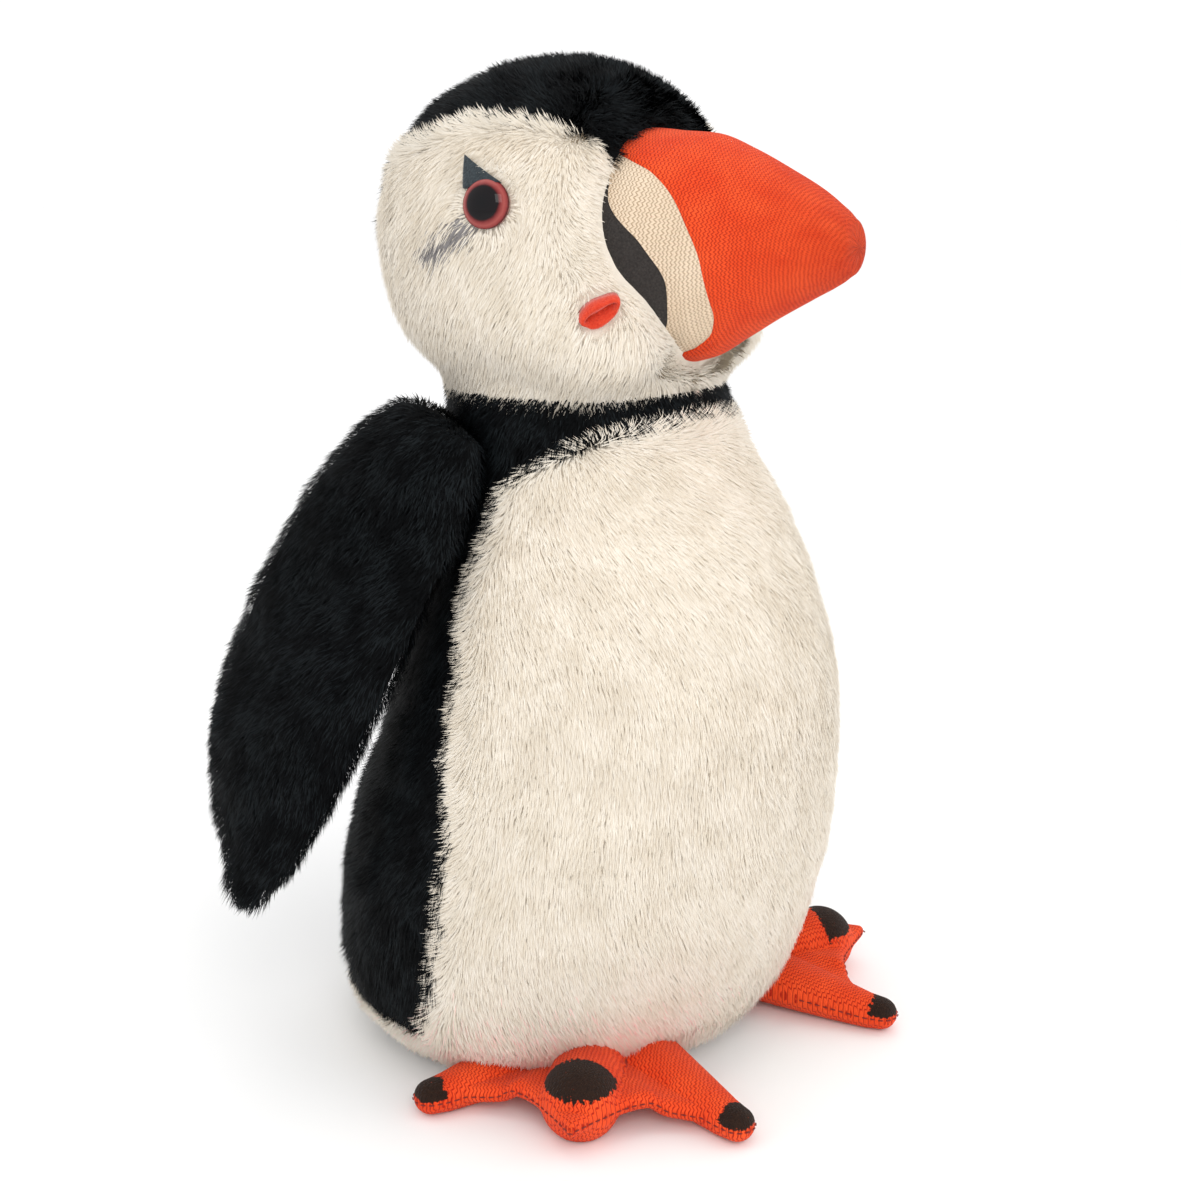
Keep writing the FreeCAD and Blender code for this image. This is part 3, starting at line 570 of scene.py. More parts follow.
def pile_tree():
    """Geometry nodes that grow pile from a sheet: where it leans, how it clumps, and its tones."""
    tree = bpy.data.node_groups.new("pile", "GeometryNodeTree")
    face = tree.interface
    face.new_socket("Geometry", in_out="OUTPUT", socket_type="NodeSocketGeometry")
    face.new_socket("Geometry", in_out="INPUT", socket_type="NodeSocketGeometry")
    for label, kind in (
        ("Strand", "NodeSocketObject"),
        ("Strands per Square Metre", "NodeSocketFloat"),
        ("Length", "NodeSocketFloat"),
        ("Width", "NodeSocketFloat"),
        ("Lean", "NodeSocketFloat"),
        ("Stray", "NodeSocketFloat"),
        ("Clump Size", "NodeSocketFloat"),
        ("Clumping", "NodeSocketFloat"),
        ("Seed", "NodeSocketInt"),
        ("Main", "NodeSocketMaterial"),
        ("Bright", "NodeSocketMaterial"),
        ("Shade", "NodeSocketMaterial"),
        ("Mark", "NodeSocketMaterial"),
    ):
        face.new_socket(label, in_out="INPUT", socket_type=kind)
    given = tree.nodes.new("NodeGroupInput").outputs
    result = tree.nodes.new("NodeGroupOutput")

    def node(kind, settings=None, **inputs):
        return add_node(tree, kind, settings, **inputs)

    def vector(operation, *values):
        made = tree.nodes.new("ShaderNodeVectorMath")
        made.operation = operation
        for socket, value in zip(made.inputs, values):
            if isinstance(value, bpy.types.NodeSocket):
                tree.links.new(value, socket)
            else:
                socket.default_value = value
        return made.outputs["Vector"]

    def scaled(value, by):
        made = tree.nodes.new("ShaderNodeVectorMath")
        made.operation = "SCALE"
        tree.links.new(value, made.inputs[0])
        if isinstance(by, bpy.types.NodeSocket):
            tree.links.new(by, made.inputs["Scale"])
        else:
            made.inputs["Scale"].default_value = by
        return made.outputs["Vector"]

    def named(name, kind):
        made = tree.nodes.new("GeometryNodeInputNamedAttribute")
        made.data_type = kind
        made.inputs["Name"].default_value = name
        return made.outputs["Attribute"]

    def chance(low, high, salt, kind="FLOAT"):
        made = tree.nodes.new("FunctionNodeRandomValue")
        made.data_type = kind
        usable = [s for s in made.inputs if s.enabled]
        usable[0].default_value = low
        usable[1].default_value = high
        seed = [s for s in usable if s.name == "Seed"][0]
        tree.links.new(maths(tree, "ADD", given["Seed"], salt), seed)
        return [s for s in made.outputs if s.enabled][0]

    thick = maths(tree, "MULTIPLY", given["Strands per Square Metre"], named("thick", "FLOAT"))
    scatter = tree.nodes.new("GeometryNodeDistributePointsOnFaces")
    tree.links.new(given["Geometry"], scatter.inputs["Mesh"])
    tree.links.new(thick, scatter.inputs["Density"])
    tree.links.new(given["Seed"], scatter.inputs["Seed"])
    normal = scatter.outputs["Normal"]
    hold = tree.nodes.new("GeometryNodeStoreNamedAttribute")
    hold.data_type = "FLOAT_VECTOR"
    hold.domain = "POINT"
    hold.inputs["Name"].default_value = "ground"
    tree.links.new(scatter.outputs["Points"], hold.inputs["Geometry"])
    tree.links.new(normal, hold.inputs["Value"])
    ground = named("ground", "FLOAT_VECTOR")

    place = tree.nodes.new("GeometryNodeInputPosition").outputs[0]
    frequency = maths(tree, "DIVIDE", 1.0, given["Clump Size"])
    tuft = node("ShaderNodeTexNoise", Vector=place, Scale=frequency, Detail=2.0, Roughness=0.6)
    swirl = vector("SUBTRACT", tuft.outputs["Color"], (0.5, 0.5, 0.5))
    swirl = scaled(swirl, maths(tree, "MULTIPLY", given["Clumping"], 4.0))
    stray = scaled(chance((-1, -1, -1), (1, 1, 1), 11, "FLOAT_VECTOR"), given["Stray"])
    lean_part = scaled(named("comb", "FLOAT_VECTOR"), maths(tree, "SINE", given["Lean"]))
    rise_part = scaled(ground, maths(tree, "COSINE", given["Lean"]))
    way = vector("ADD", vector("ADD", lean_part, rise_part), vector("ADD", swirl, stray))
    way = vector("NORMALIZE", way)
    lift = tree.nodes.new("ShaderNodeVectorMath")
    lift.operation = "DOT_PRODUCT"
    tree.links.new(way, lift.inputs[0])
    tree.links.new(ground, lift.inputs[1])
    short = maths(tree, "MAXIMUM", maths(tree, "SUBTRACT", 0.22, lift.outputs["Value"]), 0.0)
    way = vector("NORMALIZE", vector("ADD", way, scaled(ground, short)))
    side = vector("NORMALIZE", vector("CROSS_PRODUCT", ground, way))
    turn = tree.nodes.new("FunctionNodeAxesToRotation")
    turn.primary_axis = "Z"
    turn.secondary_axis = "X"
    tree.links.new(way, turn.inputs["Primary Axis"])
    tree.links.new(side, turn.inputs["Secondary Axis"])

    reach = maths(tree, "MULTIPLY", given["Length"], chance(0.78, 1.1, 23))
    reach = maths(tree, "MULTIPLY", reach, named("longer", "FLOAT"))
    wide = maths(tree, "MULTIPLY", given["Width"], chance(0.75, 1.25, 31))
    size = node("ShaderNodeCombineXYZ", X=wide, Y=reach, Z=reach)

    soft = vector("NORMALIZE", vector("ADD", scaled(ground, 0.9), scaled(way, 0.22)))
    keep_soft = tree.nodes.new("GeometryNodeStoreNamedAttribute")
    keep_soft.data_type = "FLOAT_VECTOR"
    keep_soft.domain = "POINT"
    keep_soft.inputs["Name"].default_value = "soft_normal"
    tree.links.new(hold.outputs["Geometry"], keep_soft.inputs["Geometry"])
    tree.links.new(soft, keep_soft.inputs["Value"])

    streaks = node("ShaderNodeTexNoise", Vector=place, Scale=frequency, Detail=3.0)
    tone = maths(tree, "ADD", streaks.outputs["Fac"], chance(-0.28, 0.28, 47))
    marked = maths(tree, "SUBTRACT", named("mark", "FLOAT"), chance(0.0, 1.0, 59))
    holders = keep_soft.outputs["Geometry"]
    for label, value in (("tone", tone), ("marked", marked)):
        held = tree.nodes.new("GeometryNodeStoreNamedAttribute")
        held.data_type = "FLOAT"
        held.domain = "POINT"
        held.inputs["Name"].default_value = label
        tree.links.new(holders, held.inputs["Geometry"])
        tree.links.new(value, held.inputs["Value"])
        holders = held.outputs["Geometry"]

    info = node("GeometryNodeObjectInfo", Object=given["Strand"])
    grow = tree.nodes.new("GeometryNodeInstanceOnPoints")
    tree.links.new(holders, grow.inputs["Points"])
    tree.links.new(info.outputs["Geometry"], grow.inputs["Instance"])
    tree.links.new(turn.outputs["Rotation"], grow.inputs["Rotation"])
    tree.links.new(size.outputs["Vector"], grow.inputs["Scale"])
    real = tree.nodes.new("GeometryNodeRealizeInstances")
    tree.links.new(grow.outputs["Instances"], real.inputs["Geometry"])
    shown = real.outputs["Geometry"]
    for label, pick in (
        ("Main", None),
        ("Bright", ("GREATER_THAN", "tone", 0.62)),
        ("Shade", ("LESS_THAN", "tone", 0.31)),
        ("Mark", ("GREATER_THAN", "marked", 0.0)),
    ):
        paint = tree.nodes.new("GeometryNodeSetMaterial")
        tree.links.new(shown, paint.inputs["Geometry"])
        tree.links.new(given[label], paint.inputs["Material"])
        if pick:
            operation, attribute, limit = pick
            tree.links.new(
                maths(tree, operation, named(attribute, "FLOAT"), limit), paint.inputs["Selection"]
            )
        shown = paint.outputs["Geometry"]
    tree.links.new(shown, result.inputs["Geometry"])
    return tree


PILE = pile_tree()
QUICK_SHARE = 1.0


def grow_pile(name, sheet, tones, mark, seed, per_mm2, length, width=0.34, **style):
    """Turn a sheet into the pile that grows from it, as one plain mesh, and drop the sheet."""
    values = {
        "Strand": STRAND,
        "Strands per Square Metre": per_mm2 * 1e6 * QUICK_SHARE,
        "Length": length * MM,
        "Width": width * MM / math.sqrt(QUICK_SHARE),
        "Lean": math.radians(style.get("lean", 54)),
        "Stray": style.get("stray", 0.12),
        "Clump Size": style.get("clump", 9.0) * MM,
        "Clumping": style.get("clumping", 0.18),
        "Seed": seed,
        "Main": tones[0],
        "Bright": tones[1],
        "Shade": tones[2],
        "Mark": mark,
    }
    live = sheet.modifiers.new("pile", "NODES")
    live.node_group = PILE
    for item in PILE.interface.items_tree:
        if item.item_type == "SOCKET" and item.in_out == "INPUT" and item.name in values:
            live[item.identifier] = values[item.name]
    sheet.update_tag()
    bpy.context.view_layer.update()
    graph = bpy.context.evaluated_depsgraph_get()
    mesh = bpy.data.meshes.new_from_object(
        sheet.evaluated_get(graph), preserve_all_data_layers=True, depsgraph=graph
    )
    mesh.name = name
    soft = np.zeros(len(mesh.vertices) * 3, np.float32)
    mesh.attributes["soft_normal"].data.foreach_get("vector", soft)
    for attribute in ("ground", "soft_normal", "tone", "marked", "comb", "thick", "longer", "mark"):
        if attribute in mesh.attributes:
            mesh.attributes.remove(mesh.attributes[attribute])
    mesh.polygons.foreach_set("use_smooth", np.ones(len(mesh.polygons), bool))
    mesh.normals_split_custom_set_from_vertices(soft.reshape(-1, 3).tolist())
    thing = bpy.data.objects.new(name, mesh)
    thing.visible_shadow = tones is not WHITE_PILE
    bpy.context.scene.collection.objects.link(thing)
    old = sheet.data
    bpy.data.objects.remove(sheet)
    bpy.data.meshes.remove(old)
    return thing


def comb_sheet(sheet, way, thick=1.0, longer=1.0, mark=0.0):
    """Say how the pile lies on a sheet: its way along the surface, and where it is thick or marked."""
    count = len(sheet.data.vertices)
    normals = vertex_normals(sheet)
    way = np.broadcast_to(way, (count, 3))
    flat = way - (way * normals).sum(1)[:, None] * normals
    store(sheet, "comb", flat)
    store(sheet, "thick", np.broadcast_to(thick, count))
    store(sheet, "longer", np.broadcast_to(longer, count))
    store(sheet, "mark", np.broadcast_to(mark, count))


# ---------------------------------------------------------------- stitches


def stitch_object():
    """One short stitch of thread, a millimetre long, rounded at its ends."""
    rows = []
    for along, girth in ((-0.5, 0.25), (-0.38, 0.8), (0.0, 1.0), (0.38, 0.8), (0.5, 0.25)):
        turns = np.radians(np.arange(0, 360, 60))
        rows.append(
            np.stack([girth * 0.5 * np.cos(turns), girth * 0.5 * np.sin(turns), along + 0 * turns], -1)
        )
    thing = grid_object("stitch", np.array(rows) / MM, around=True, caps=(True, True), inner=(0, 0, 0))
    thing.hide_render = True
    return thing


STITCH = stitch_object()


def stitch_tree():
    """Geometry nodes that sew even stitches along a line."""
    tree = bpy.data.node_groups.new("stitches", "GeometryNodeTree")
    face = tree.interface
    face.new_socket("Geometry", in_out="OUTPUT", socket_type="NodeSocketGeometry")
    face.new_socket("Geometry", in_out="INPUT", socket_type="NodeSocketGeometry")
    face.new_socket("Stitch", in_out="INPUT", socket_type="NodeSocketObject")
    face.new_socket("Spacing", in_out="INPUT", socket_type="NodeSocketFloat")
    face.new_socket("Length", in_out="INPUT", socket_type="NodeSocketFloat")
    face.new_socket("Thickness", in_out="INPUT", socket_type="NodeSocketFloat")
    face.new_socket("Thread", in_out="INPUT", socket_type="NodeSocketMaterial")
    given = tree.nodes.new("NodeGroupInput").outputs
    line = add_node(tree, "GeometryNodeMeshToCurve", Mesh=given["Geometry"])
    even = tree.nodes.new("GeometryNodeResampleCurve")
    even.mode = "LENGTH"
    tree.links.new(line.outputs["Curve"], even.inputs["Curve"])
    tree.links.new(given["Spacing"], even.inputs["Length"])
    along = tree.nodes.new("GeometryNodeInputTangent")
    turn = add_node(tree, "FunctionNodeAlignRotationToVector", {"axis": "Z"}, Vector=along.outputs[0])
    info = add_node(tree, "GeometryNodeObjectInfo", Object=given["Stitch"])
    size = add_node(
        tree, "ShaderNodeCombineXYZ", X=given["Thickness"], Y=given["Thickness"], Z=given["Length"]
    )
    sew = tree.nodes.new("GeometryNodeInstanceOnPoints")
    tree.links.new(even.outputs["Curve"], sew.inputs["Points"])
    tree.links.new(info.outputs["Geometry"], sew.inputs["Instance"])
    tree.links.new(turn.outputs["Rotation"], sew.inputs["Rotation"])
    tree.links.new(size.outputs["Vector"], sew.inputs["Scale"])
    real = add_node(tree, "GeometryNodeRealizeInstances", Geometry=sew.outputs["Instances"])
    paint = add_node(
        tree, "GeometryNodeSetMaterial", Geometry=real.outputs["Geometry"], Material=given["Thread"]
    )
    result = tree.nodes.new("NodeGroupOutput")
    tree.links.new(paint.outputs["Geometry"], result.inputs["Geometry"])
    return tree


SEWING = stitch_tree()


def sew_line(name, points, thread, closed=False, spacing=2.3, length=1.5, thickness=0.42):
    """A row of stitches through points in millimetres, as one plain mesh."""
    count = len(points)
    mesh = bpy.data.meshes.new(name + "_line")
    edges = [(i, i + 1) for i in range(count - 1)] + ([(count - 1, 0)] if closed else [])
    mesh.from_pydata((np.asarray(points) * MM).tolist(), edges, [])
    line = bpy.data.objects.new(name + "_line", mesh)
    bpy.context.scene.collection.objects.link(line)
    live = line.modifiers.new("stitches", "NODES")
    live.node_group = SEWING
    values = {
        "Stitch": STITCH,
        "Spacing": spacing * MM,
        "Length": length * MM,
        "Thickness": thickness * MM,
        "Thread": thread,
    }
    for item in SEWING.interface.items_tree:
        if item.item_type == "SOCKET" and item.in_out == "INPUT" and item.name in values:
            live[item.identifier] = values[item.name]
    bpy.context.view_layer.update()
    graph = bpy.context.evaluated_depsgraph_get()
    made = bpy.data.meshes.new_from_object(line.evaluated_get(graph), depsgraph=graph)
    made.name = name
    made.polygons.foreach_set("use_smooth", np.ones(len(made.polygons), bool))
    thing = bpy.data.objects.new(name, made)
    bpy.context.scene.collection.objects.link(thing)
    bpy.data.objects.remove(line)
    bpy.data.meshes.remove(mesh)
    return thing


# ---------------------------------------------------------------- torso


def torso_point(height, around, inset):
    """A point of the torso's side at a height and degrees round from the front, right side positive."""
    half_width = smooth_curve(TORSO, height, 1) - inset
    half_depth = smooth_curve(TORSO, height, 2) - inset
    middle = smooth_curve(TORSO, height, 3)
    angle = np.radians(around)
    points = np.stack(
        [-half_width * np.sin(angle), middle - half_depth * np.cos(angle), height + 0 * angle], -1
    )
    out = unit(np.stack([-np.sin(angle), -np.cos(angle), 0 * angle], -1))
    return points + out * (0.6 * lumps(points, 46.0, 5))[..., None]


NECK_TOP = 185.2


def torso_padding():
    """The stuffed body as one closed skin, with the seat for the neck pressed into its top."""
    heights = np.concatenate([np.linspace(0.6, 20, 12), np.linspace(22, 180, 60), [182.5, NECK_TOP]])
    around = np.arange(0, 360, 3.0)
    grid_h, grid_a = np.meshgrid(heights, around, indexing="ij")
    rows = torso_point(grid_h, grid_a, PILE_DEPTH)
    rim = rows[-1]
    bowl = []
    for share in (0.9, 0.7, 0.45, 0.2):
        ring = NECK_PIVOT[:2] + (rim[:, :2] - NECK_PIVOT[:2]) * share
        away = np.linalg.norm(ring - NECK_PIVOT[:2], axis=1)
        depth = NECK_PIVOT[2] - np.sqrt(SEAT_RADIUS**2 - away**2) - 0.4
        bowl.append(np.column_stack([ring, np.minimum(depth, NECK_TOP)]))
    lowest = rows[0]
    centre = np.array([0, 8.0])
    floor = [
        np.column_stack([lowest[:, :2] * share + (1 - share) * centre, lowest[:, 2]])
        for share in (0.3, 0.65)
    ]
    points = np.concatenate([np.array(floor), rows, np.array(bowl)])
    thing = grid_object("torso_padding", points, around=True, caps=(True, True), inner=(0, 0, 90))
    place = vertex_points(thing)
    forward = smooth_curve(TORSO, place[:, 2], 3) - place[:, 1]
    bearing = np.abs(np.degrees(np.arctan2(-place[:, 0], forward)))
    dark = (bearing > straight_curve(BELLY_EDGE, place[:, 2])) & (place[:, 2] > BACK_HEM)
    store(thing, "dark_panel", dark.astype(float))
    fill_inside(thing, "torso_stuffing", "torso", "torso_filling", 1.6)
    nodes = [f"{part}_{side}" for part in ("belly", "back") for side in ("left", "right")]
    return keep(thing, "torso", BACKING, [*nodes, "base_panel"])


def side_sheet(name, heights, low_angle, high_angle, columns):
    """A sheet over the torso's side between two edges that depend on height."""
    share = np.linspace(0, 1, columns)
    low, high = low_angle(heights)[:, None], high_angle(heights)[:, None]
    around = low + (high - low) * share
    tall = np.broadcast_to(heights[:, None], around.shape)
    points = torso_point(tall, around, PILE_DEPTH)
    sheet = grid_object(name, points, inner=(0, 0, 90))
    return sheet, around.ravel(), np.array(tall).ravel()


def belly_edge(heights):
    return straight_curve(BELLY_EDGE, heights) + 0.7 * np.sin(heights * 0.9) + 0.5 * np.sin(heights * 2.3)


def around_way(around):
    """The level way round the torso, towards its back on the right side."""
    angle = np.radians(around)
    return np.stack([-np.cos(angle), np.sin(angle), 0 * angle], -1)


def torso_pile():
    """Belly, back and base, each grown from its own sheet, left and right."""
    low_rows = np.linspace(BACK_HEM - 2, 160, 64)
    high_rows = np.linspace(161, 179.6, 22)
    heights = np.concatenate([low_rows, high_rows])
    for side, sign in (("right", 1.0), ("left", -1.0)):
        sheet, around, tall = side_sheet(
            "belly_sheet", heights, lambda z: 0 * z, lambda z: sign * belly_edge(z), 46
        )
        edge = belly_edge(tall)
        near_edge = ease(np.abs(around), edge - 9, edge + 1)
        near_top = ease(tall, 166, 181)
        flow = np.sin(tall * 0.045 + around * 0.02) * 0.35 + 0.25
        way = -UP * (1 - 0.75 * near_edge - 0.9 * near_top)[:, None]
        way = way + around_way(around) * (sign * near_edge * 1.1 - flow * (1 - near_edge))[:, None]
        way = way + UP * (0.9 * near_top)[:, None]
        seam = 1 - 0.55 * np.exp(-((around / 1.1) ** 2)) * ease(tall, 25, 60)
        # Painted reflection: low on the belly's front, above the orange feet, a share of the white strands
        # turns pink.
        front = np.exp(-((np.abs(around) - 55) / 32) ** 2)
        feet_reflection = 0.30 * ease(-tall, -40, -16) * front
        comb_sheet(sheet, way, seam, 1 - 0.25 * near_top, feet_reflection)
        seed = 3 if side == "right" else 4
        pile = grow_pile(f"belly_pile_{side}", sheet, WHITE_PILE, FEET_REFLECTION_PILE, seed, 4.8, 5.2, 0.42, lean=63)
        keep(pile, "torso")

        heights_back = np.concatenate([np.linspace(BACK_HEM, 160, 60), np.linspace(161.5, NECK_TOP, 20)])
        sheet, around, tall = side_sheet(
            "back_sheet", heights_back, lambda z: sign * belly_edge(z), lambda z: sign * (180 + 0 * z), 50
        )
        flow = np.sin(tall * 0.06 + around * 0.03) * 0.3
        way = -UP + around_way(around) * flow[:, None]
        seam = 1 - 0.5 * np.exp(-(((np.abs(around) - 180) / 1.2) ** 2))
        hem = ease(tall, BACK_HEM - 1, BACK_HEM + 9)
        short = 1 - 0.3 * ease(tall, 176, 184)
        comb_sheet(sheet, way, seam, (0.72 + 0.28 * hem) * short, 0.0)
        pile = grow_pile(
            f"back_pile_{side}", sheet, BLACK_PILE, BLACK_PILE[1], 5 if side == "right" else 6, 4.0, 4.8,
            clumping=0.34, stray=0.25,
        )
        keep(pile, "torso")

    heights = np.array([0.8, 2.5, 4.5, 7, 9.5, 12, 14.5, BACK_HEM])
    sheet, around, tall = side_sheet(
        "base_sheet", heights, lambda z: -180 + 0 * z, lambda z: 180 + 0 * z, 130
    )
    way = -UP * 0.6 + around_way(around) * 0.2
    way = way + UP * (0.8 * ease(tall, 12, 18) * ease(np.abs(around), 80, 92))[:, None]
    # Painted reflection: the base pile's front, beside the orange feet, gets some pink strands.
    front = np.exp(-((np.abs(around) - 55) / 32) ** 2)
    comb_sheet(sheet, way, ease(tall, 0, 4), 0.35 + 0.6 * ease(tall, 1, 9), 0.45 * front)
    pile = grow_pile("base_pile", sheet, WHITE_PILE, FEET_REFLECTION_PILE, 7, 4.4, 4.6, 0.42, lean=63)
    keep(pile, "torso")


# ---------------------------------------------------------------- head


def out_way(bearing, rise):
    """The way out of the head's middle: degrees round from the front, right side positive, and up."""
    b, r = np.radians(bearing), np.radians(rise)
    return np.stack([-np.sin(b) * np.cos(r), -np.cos(b) * np.cos(r), np.sin(r)], -1)


def head_gap(points, inset):
    """How far points lie outside the head's outline, roughly, with the cheeks run into the skull."""
    skull = (np.linalg.norm((points - HEAD_MIDDLE) / (SKULL_HALF - inset), axis=-1) - 1) * 45
    jowl = (np.linalg.norm((points - JOWL_MIDDLE) / (JOWL_HALF - inset), axis=-1) - 1) * 30
    ball = np.linalg.norm(points - NECK_PIVOT, axis=-1) - (SEAT_RADIUS - 0.4)
    across = np.linalg.norm((points - NECK_PIVOT)[..., :2], axis=-1) - (NECK_RADIUS - inset)
    below = (points - NECK_PIVOT)[..., 2] + 12.0
    neck = np.maximum(np.maximum(ball, across), below)
    soft = 3.0
    parts = np.stack([skull, jowl, neck])
    lowest = parts.min(0)
    return lowest - soft * np.log(np.exp(-(parts - lowest) / soft).sum(0)) + 0.3


def head_point(bearing, rise, inset):
    way = out_way(bearing, rise)
    near = np.zeros(way.shape[:-1])
    far = np.full(way.shape[:-1], 80.0)
    for _ in range(26):
        half = (near + far) / 2
        outside = head_gap(HEAD_MIDDLE + way * half[..., None], inset) > 0
        far = np.where(outside, half, far)
        near = np.where(outside, near, half)
    points = HEAD_MIDDLE + way * near[..., None]
    beyond = np.maximum(beak_share(points) - 1.0, 0)
    height = points[..., 2]
    dent = 6.5 * (0.5 + 0.5 * ease(height, 218, 238)) * ease(height, 196, 206)
    dent = dent * np.exp(-((beyond / 0.24) ** 2))
    puff = 5.5 * np.exp(-(((np.abs(bearing) - 40) / 20) ** 2) - (((rise + 29) / 13) ** 2))
    return points + way * (puff - dent)[..., None]


def beak_share(points):
    """1 on the beak's outline, less inside it."""
    y = np.minimum(points[..., 1], -12.0)
    tall = np.maximum(smooth_curve(BEAK, y, 1), 0.1)
    wide = np.maximum(smooth_curve(BEAK, y, 2), 0.1)
    middle = smooth_curve(BEAK, y, 3)
    share = np.sqrt((points[..., 0] / wide) ** 2 + ((points[..., 2] - middle) / tall) ** 2)
    return np.where(points[..., 1] > -10.0, 9.0, share)


def crown_edge(bearing):
    bearing = np.abs(bearing)
    ripple = 0.8 * np.sin(bearing * 0.7) + 0.5 * np.sin(bearing * 1.9)
    return straight_curve(CROWN_EDGE, bearing) + ripple * ease(bearing, 25, 40)


def head_padding():
    """The stuffed head as one closed skin, with the ball end that sits in the neck."""
    rises = np.concatenate([np.linspace(-88, -40, 22), np.linspace(-37, 87, 44)])
    bearings = np.arange(-180, 180, 3.0)
    grid_r, grid_b = np.meshgrid(rises, bearings, indexing="ij")
    points = head_point(grid_b, grid_r, PILE_DEPTH)
    thing = grid_object("head_padding", points, around=True, caps=(True, True), inner=HEAD_MIDDLE)
    way = unit(vertex_points(thing) - HEAD_MIDDLE)
    bearing = np.abs(np.degrees(np.arctan2(-way[:, 0], -way[:, 1])))
    rise = np.degrees(np.arcsin(way[:, 2]))
    store(thing, "dark_panel", (rise > crown_edge(bearing)).astype(float))
    fill_inside(thing, "head_stuffing", "head", "head_filling")
    return keep(thing, "head", BACKING, ["crown_gusset", "cheek_left", "cheek_right"])


def apart_on_head(bearing, rise, spot):
    """Millimetres along the head between places and a spot on its right side."""
    ahead = (out_way(bearing, rise) * out_way(*spot)).sum(-1)
    return np.arccos(np.clip(ahead, -1, 1)) * 49.0


def streak_strength(bearing, rise):
    """The sprayed grey line that runs back and down from the eye."""
    strength = np.zeros(bearing.shape)
    for start, end in zip(STREAK[:-1], STREAK[1:]):
        for share in np.linspace(0, 1, 7):
            spot = tuple(a + (b - a) * share for a, b in zip(start, end))
            strength = np.maximum(strength, np.exp(-((apart_on_head(bearing, rise, spot) / 2.5) ** 2)))
    return 0.95 * strength


def head_pile():
    """White cheeks and the black crown."""
    eye = (EYE_BEARING, EYE_RISE)
    felt = (77.0, 18.5)
    for side, sign in (("right", 1.0), ("left", -1.0)):
        bearing = np.concatenate([np.linspace(0, 138, 70), np.linspace(139, 154, 24)])
        share = np.linspace(0, 1, 60)
        top = crown_edge(bearing)[:, None]
        rise = -70 + (np.maximum(top, -69) + 70) * share
        wide = np.broadcast_to(bearing[:, None], rise.shape)
        points = head_point(sign * wide, rise, PILE_DEPTH)
        sheet = grid_object("cheek_sheet", points, inner=HEAD_MIDDLE)
        wide, rise, edge = wide.ravel(), rise.ravel(), np.broadcast_to(top, rise.shape).ravel()
        place = vertex_points(sheet)
        out = out_way(sign * wide, rise)
        turned = np.radians(sign * wide)
        round_way = np.stack([-np.cos(turned), np.sin(turned), 0 * wide], -1)
        over_edge = ease(rise, edge - 9, edge + 1) * ease(-wide, -142, -134)
        way = -UP * (1.0 - 1.5 * over_edge)[:, None] + round_way * (sign * 0.35)
        at_beak = beak_share(place)
        by_beak = ease(-at_beak, -1.35, -1.12)
        ahead = np.array([0.0, -1.0, 0.0])
        way = way * (1 - 0.8 * by_beak)[:, None] + ahead * (1.4 * by_beak)[:, None]
        from_eye = apart_on_head(wide, rise, eye)
        spot = out_way(sign * eye[0], eye[1])
        by_eye = ease(-from_eye, -11, -6)
        way = way * (1 - by_eye)[:, None] + unit(out - spot) * (1.2 * by_eye)[:, None]
        from_felt = apart_on_head(wide, rise, felt)
        from_rosette = apart_on_head(wide, rise, ROSETTE)
        thick = ease(at_beak, 1.05, 1.10) * ease(from_eye, 5.2, 6.2) * ease(from_felt, 2.2, 3.6)
        thick = thick * ease(from_rosette, 4.6, 5.8) * ease(place[:, 2], 181.5, 184.5)
        longer = (0.72 + 0.28 * ease(from_eye, 6, 12)) * (0.62 + 0.38 * ease(at_beak, 1.05, 1.4))
        comb_sheet(sheet, way, thick, longer, streak_strength(wide, rise))
        seed = 8 if side == "right" else 9
        pile = grow_pile(f"cheek_pile_{side}", sheet, WHITE_PILE, SOOT, seed, 5.2, 5.0, 0.42, lean=61)
        keep(pile, "head")

    bearing = np.concatenate(
        [
            np.linspace(-180, -155, 14),
            np.linspace(-153, -137, 18),
            np.linspace(-135, 135, 120),
            np.linspace(137, 153, 18),
            np.linspace(155, 180, 14),
        ]
    )
    low = np.maximum(crown_edge(bearing), -69)[:, None]
    rise = low + (89 - low) * np.linspace(0, 1, 50)
    wide = np.broadcast_to(bearing[:, None], rise.shape)
    points = head_point(wide, rise, PILE_DEPTH)
    sheet = grid_object("crown_sheet", points, inner=HEAD_MIDDLE)
    place = vertex_points(sheet)
    way = np.broadcast_to(np.array([0.0, 0.55, -0.55]), place.shape)
    at_beak = beak_share(place)
    by_beak = ease(-at_beak, -1.5, -1.1)
    way = way * (1 - by_beak)[:, None] + np.array([0.0, -1.0, 0.1]) * by_beak[:, None]
    thick = ease(at_beak, 1.01, 1.06) * ease(place[:, 2], 181.5, 184.5)
    comb_sheet(sheet, way, thick, 0.95, 0.0)
    pile = grow_pile("crown_pile", sheet, BLACK_PILE, BLACK_PILE[1], 10, 4.4, 4.4, clumping=0.34, stray=0.22)
    keep(pile, "head")


# ---------------------------------------------------------------- beak


def beak_point(along, around, lift=0.0):
    """A point of the beak's outline: y, and degrees round from the ridge, right side positive."""
    tall = smooth_curve(BEAK, along, 1)
    wide = smooth_curve(BEAK, along, 2)
    tip = np.clip((-along - 75.5) / 2.7, 0, 1)
    rounding = np.sqrt(np.maximum(1 - tip**2, 0))
    tall = np.where(along < -75.5, 7.0 * rounding, tall) + lift
    wide = np.where(along < -75.5, 6.0 * rounding, wide) + lift
    angle = np.radians(around)
    middle = smooth_curve(BEAK, along, 3)
    return np.stack([-wide * np.sin(angle), along + 0 * angle, middle + tall * np.cos(angle)], -1)


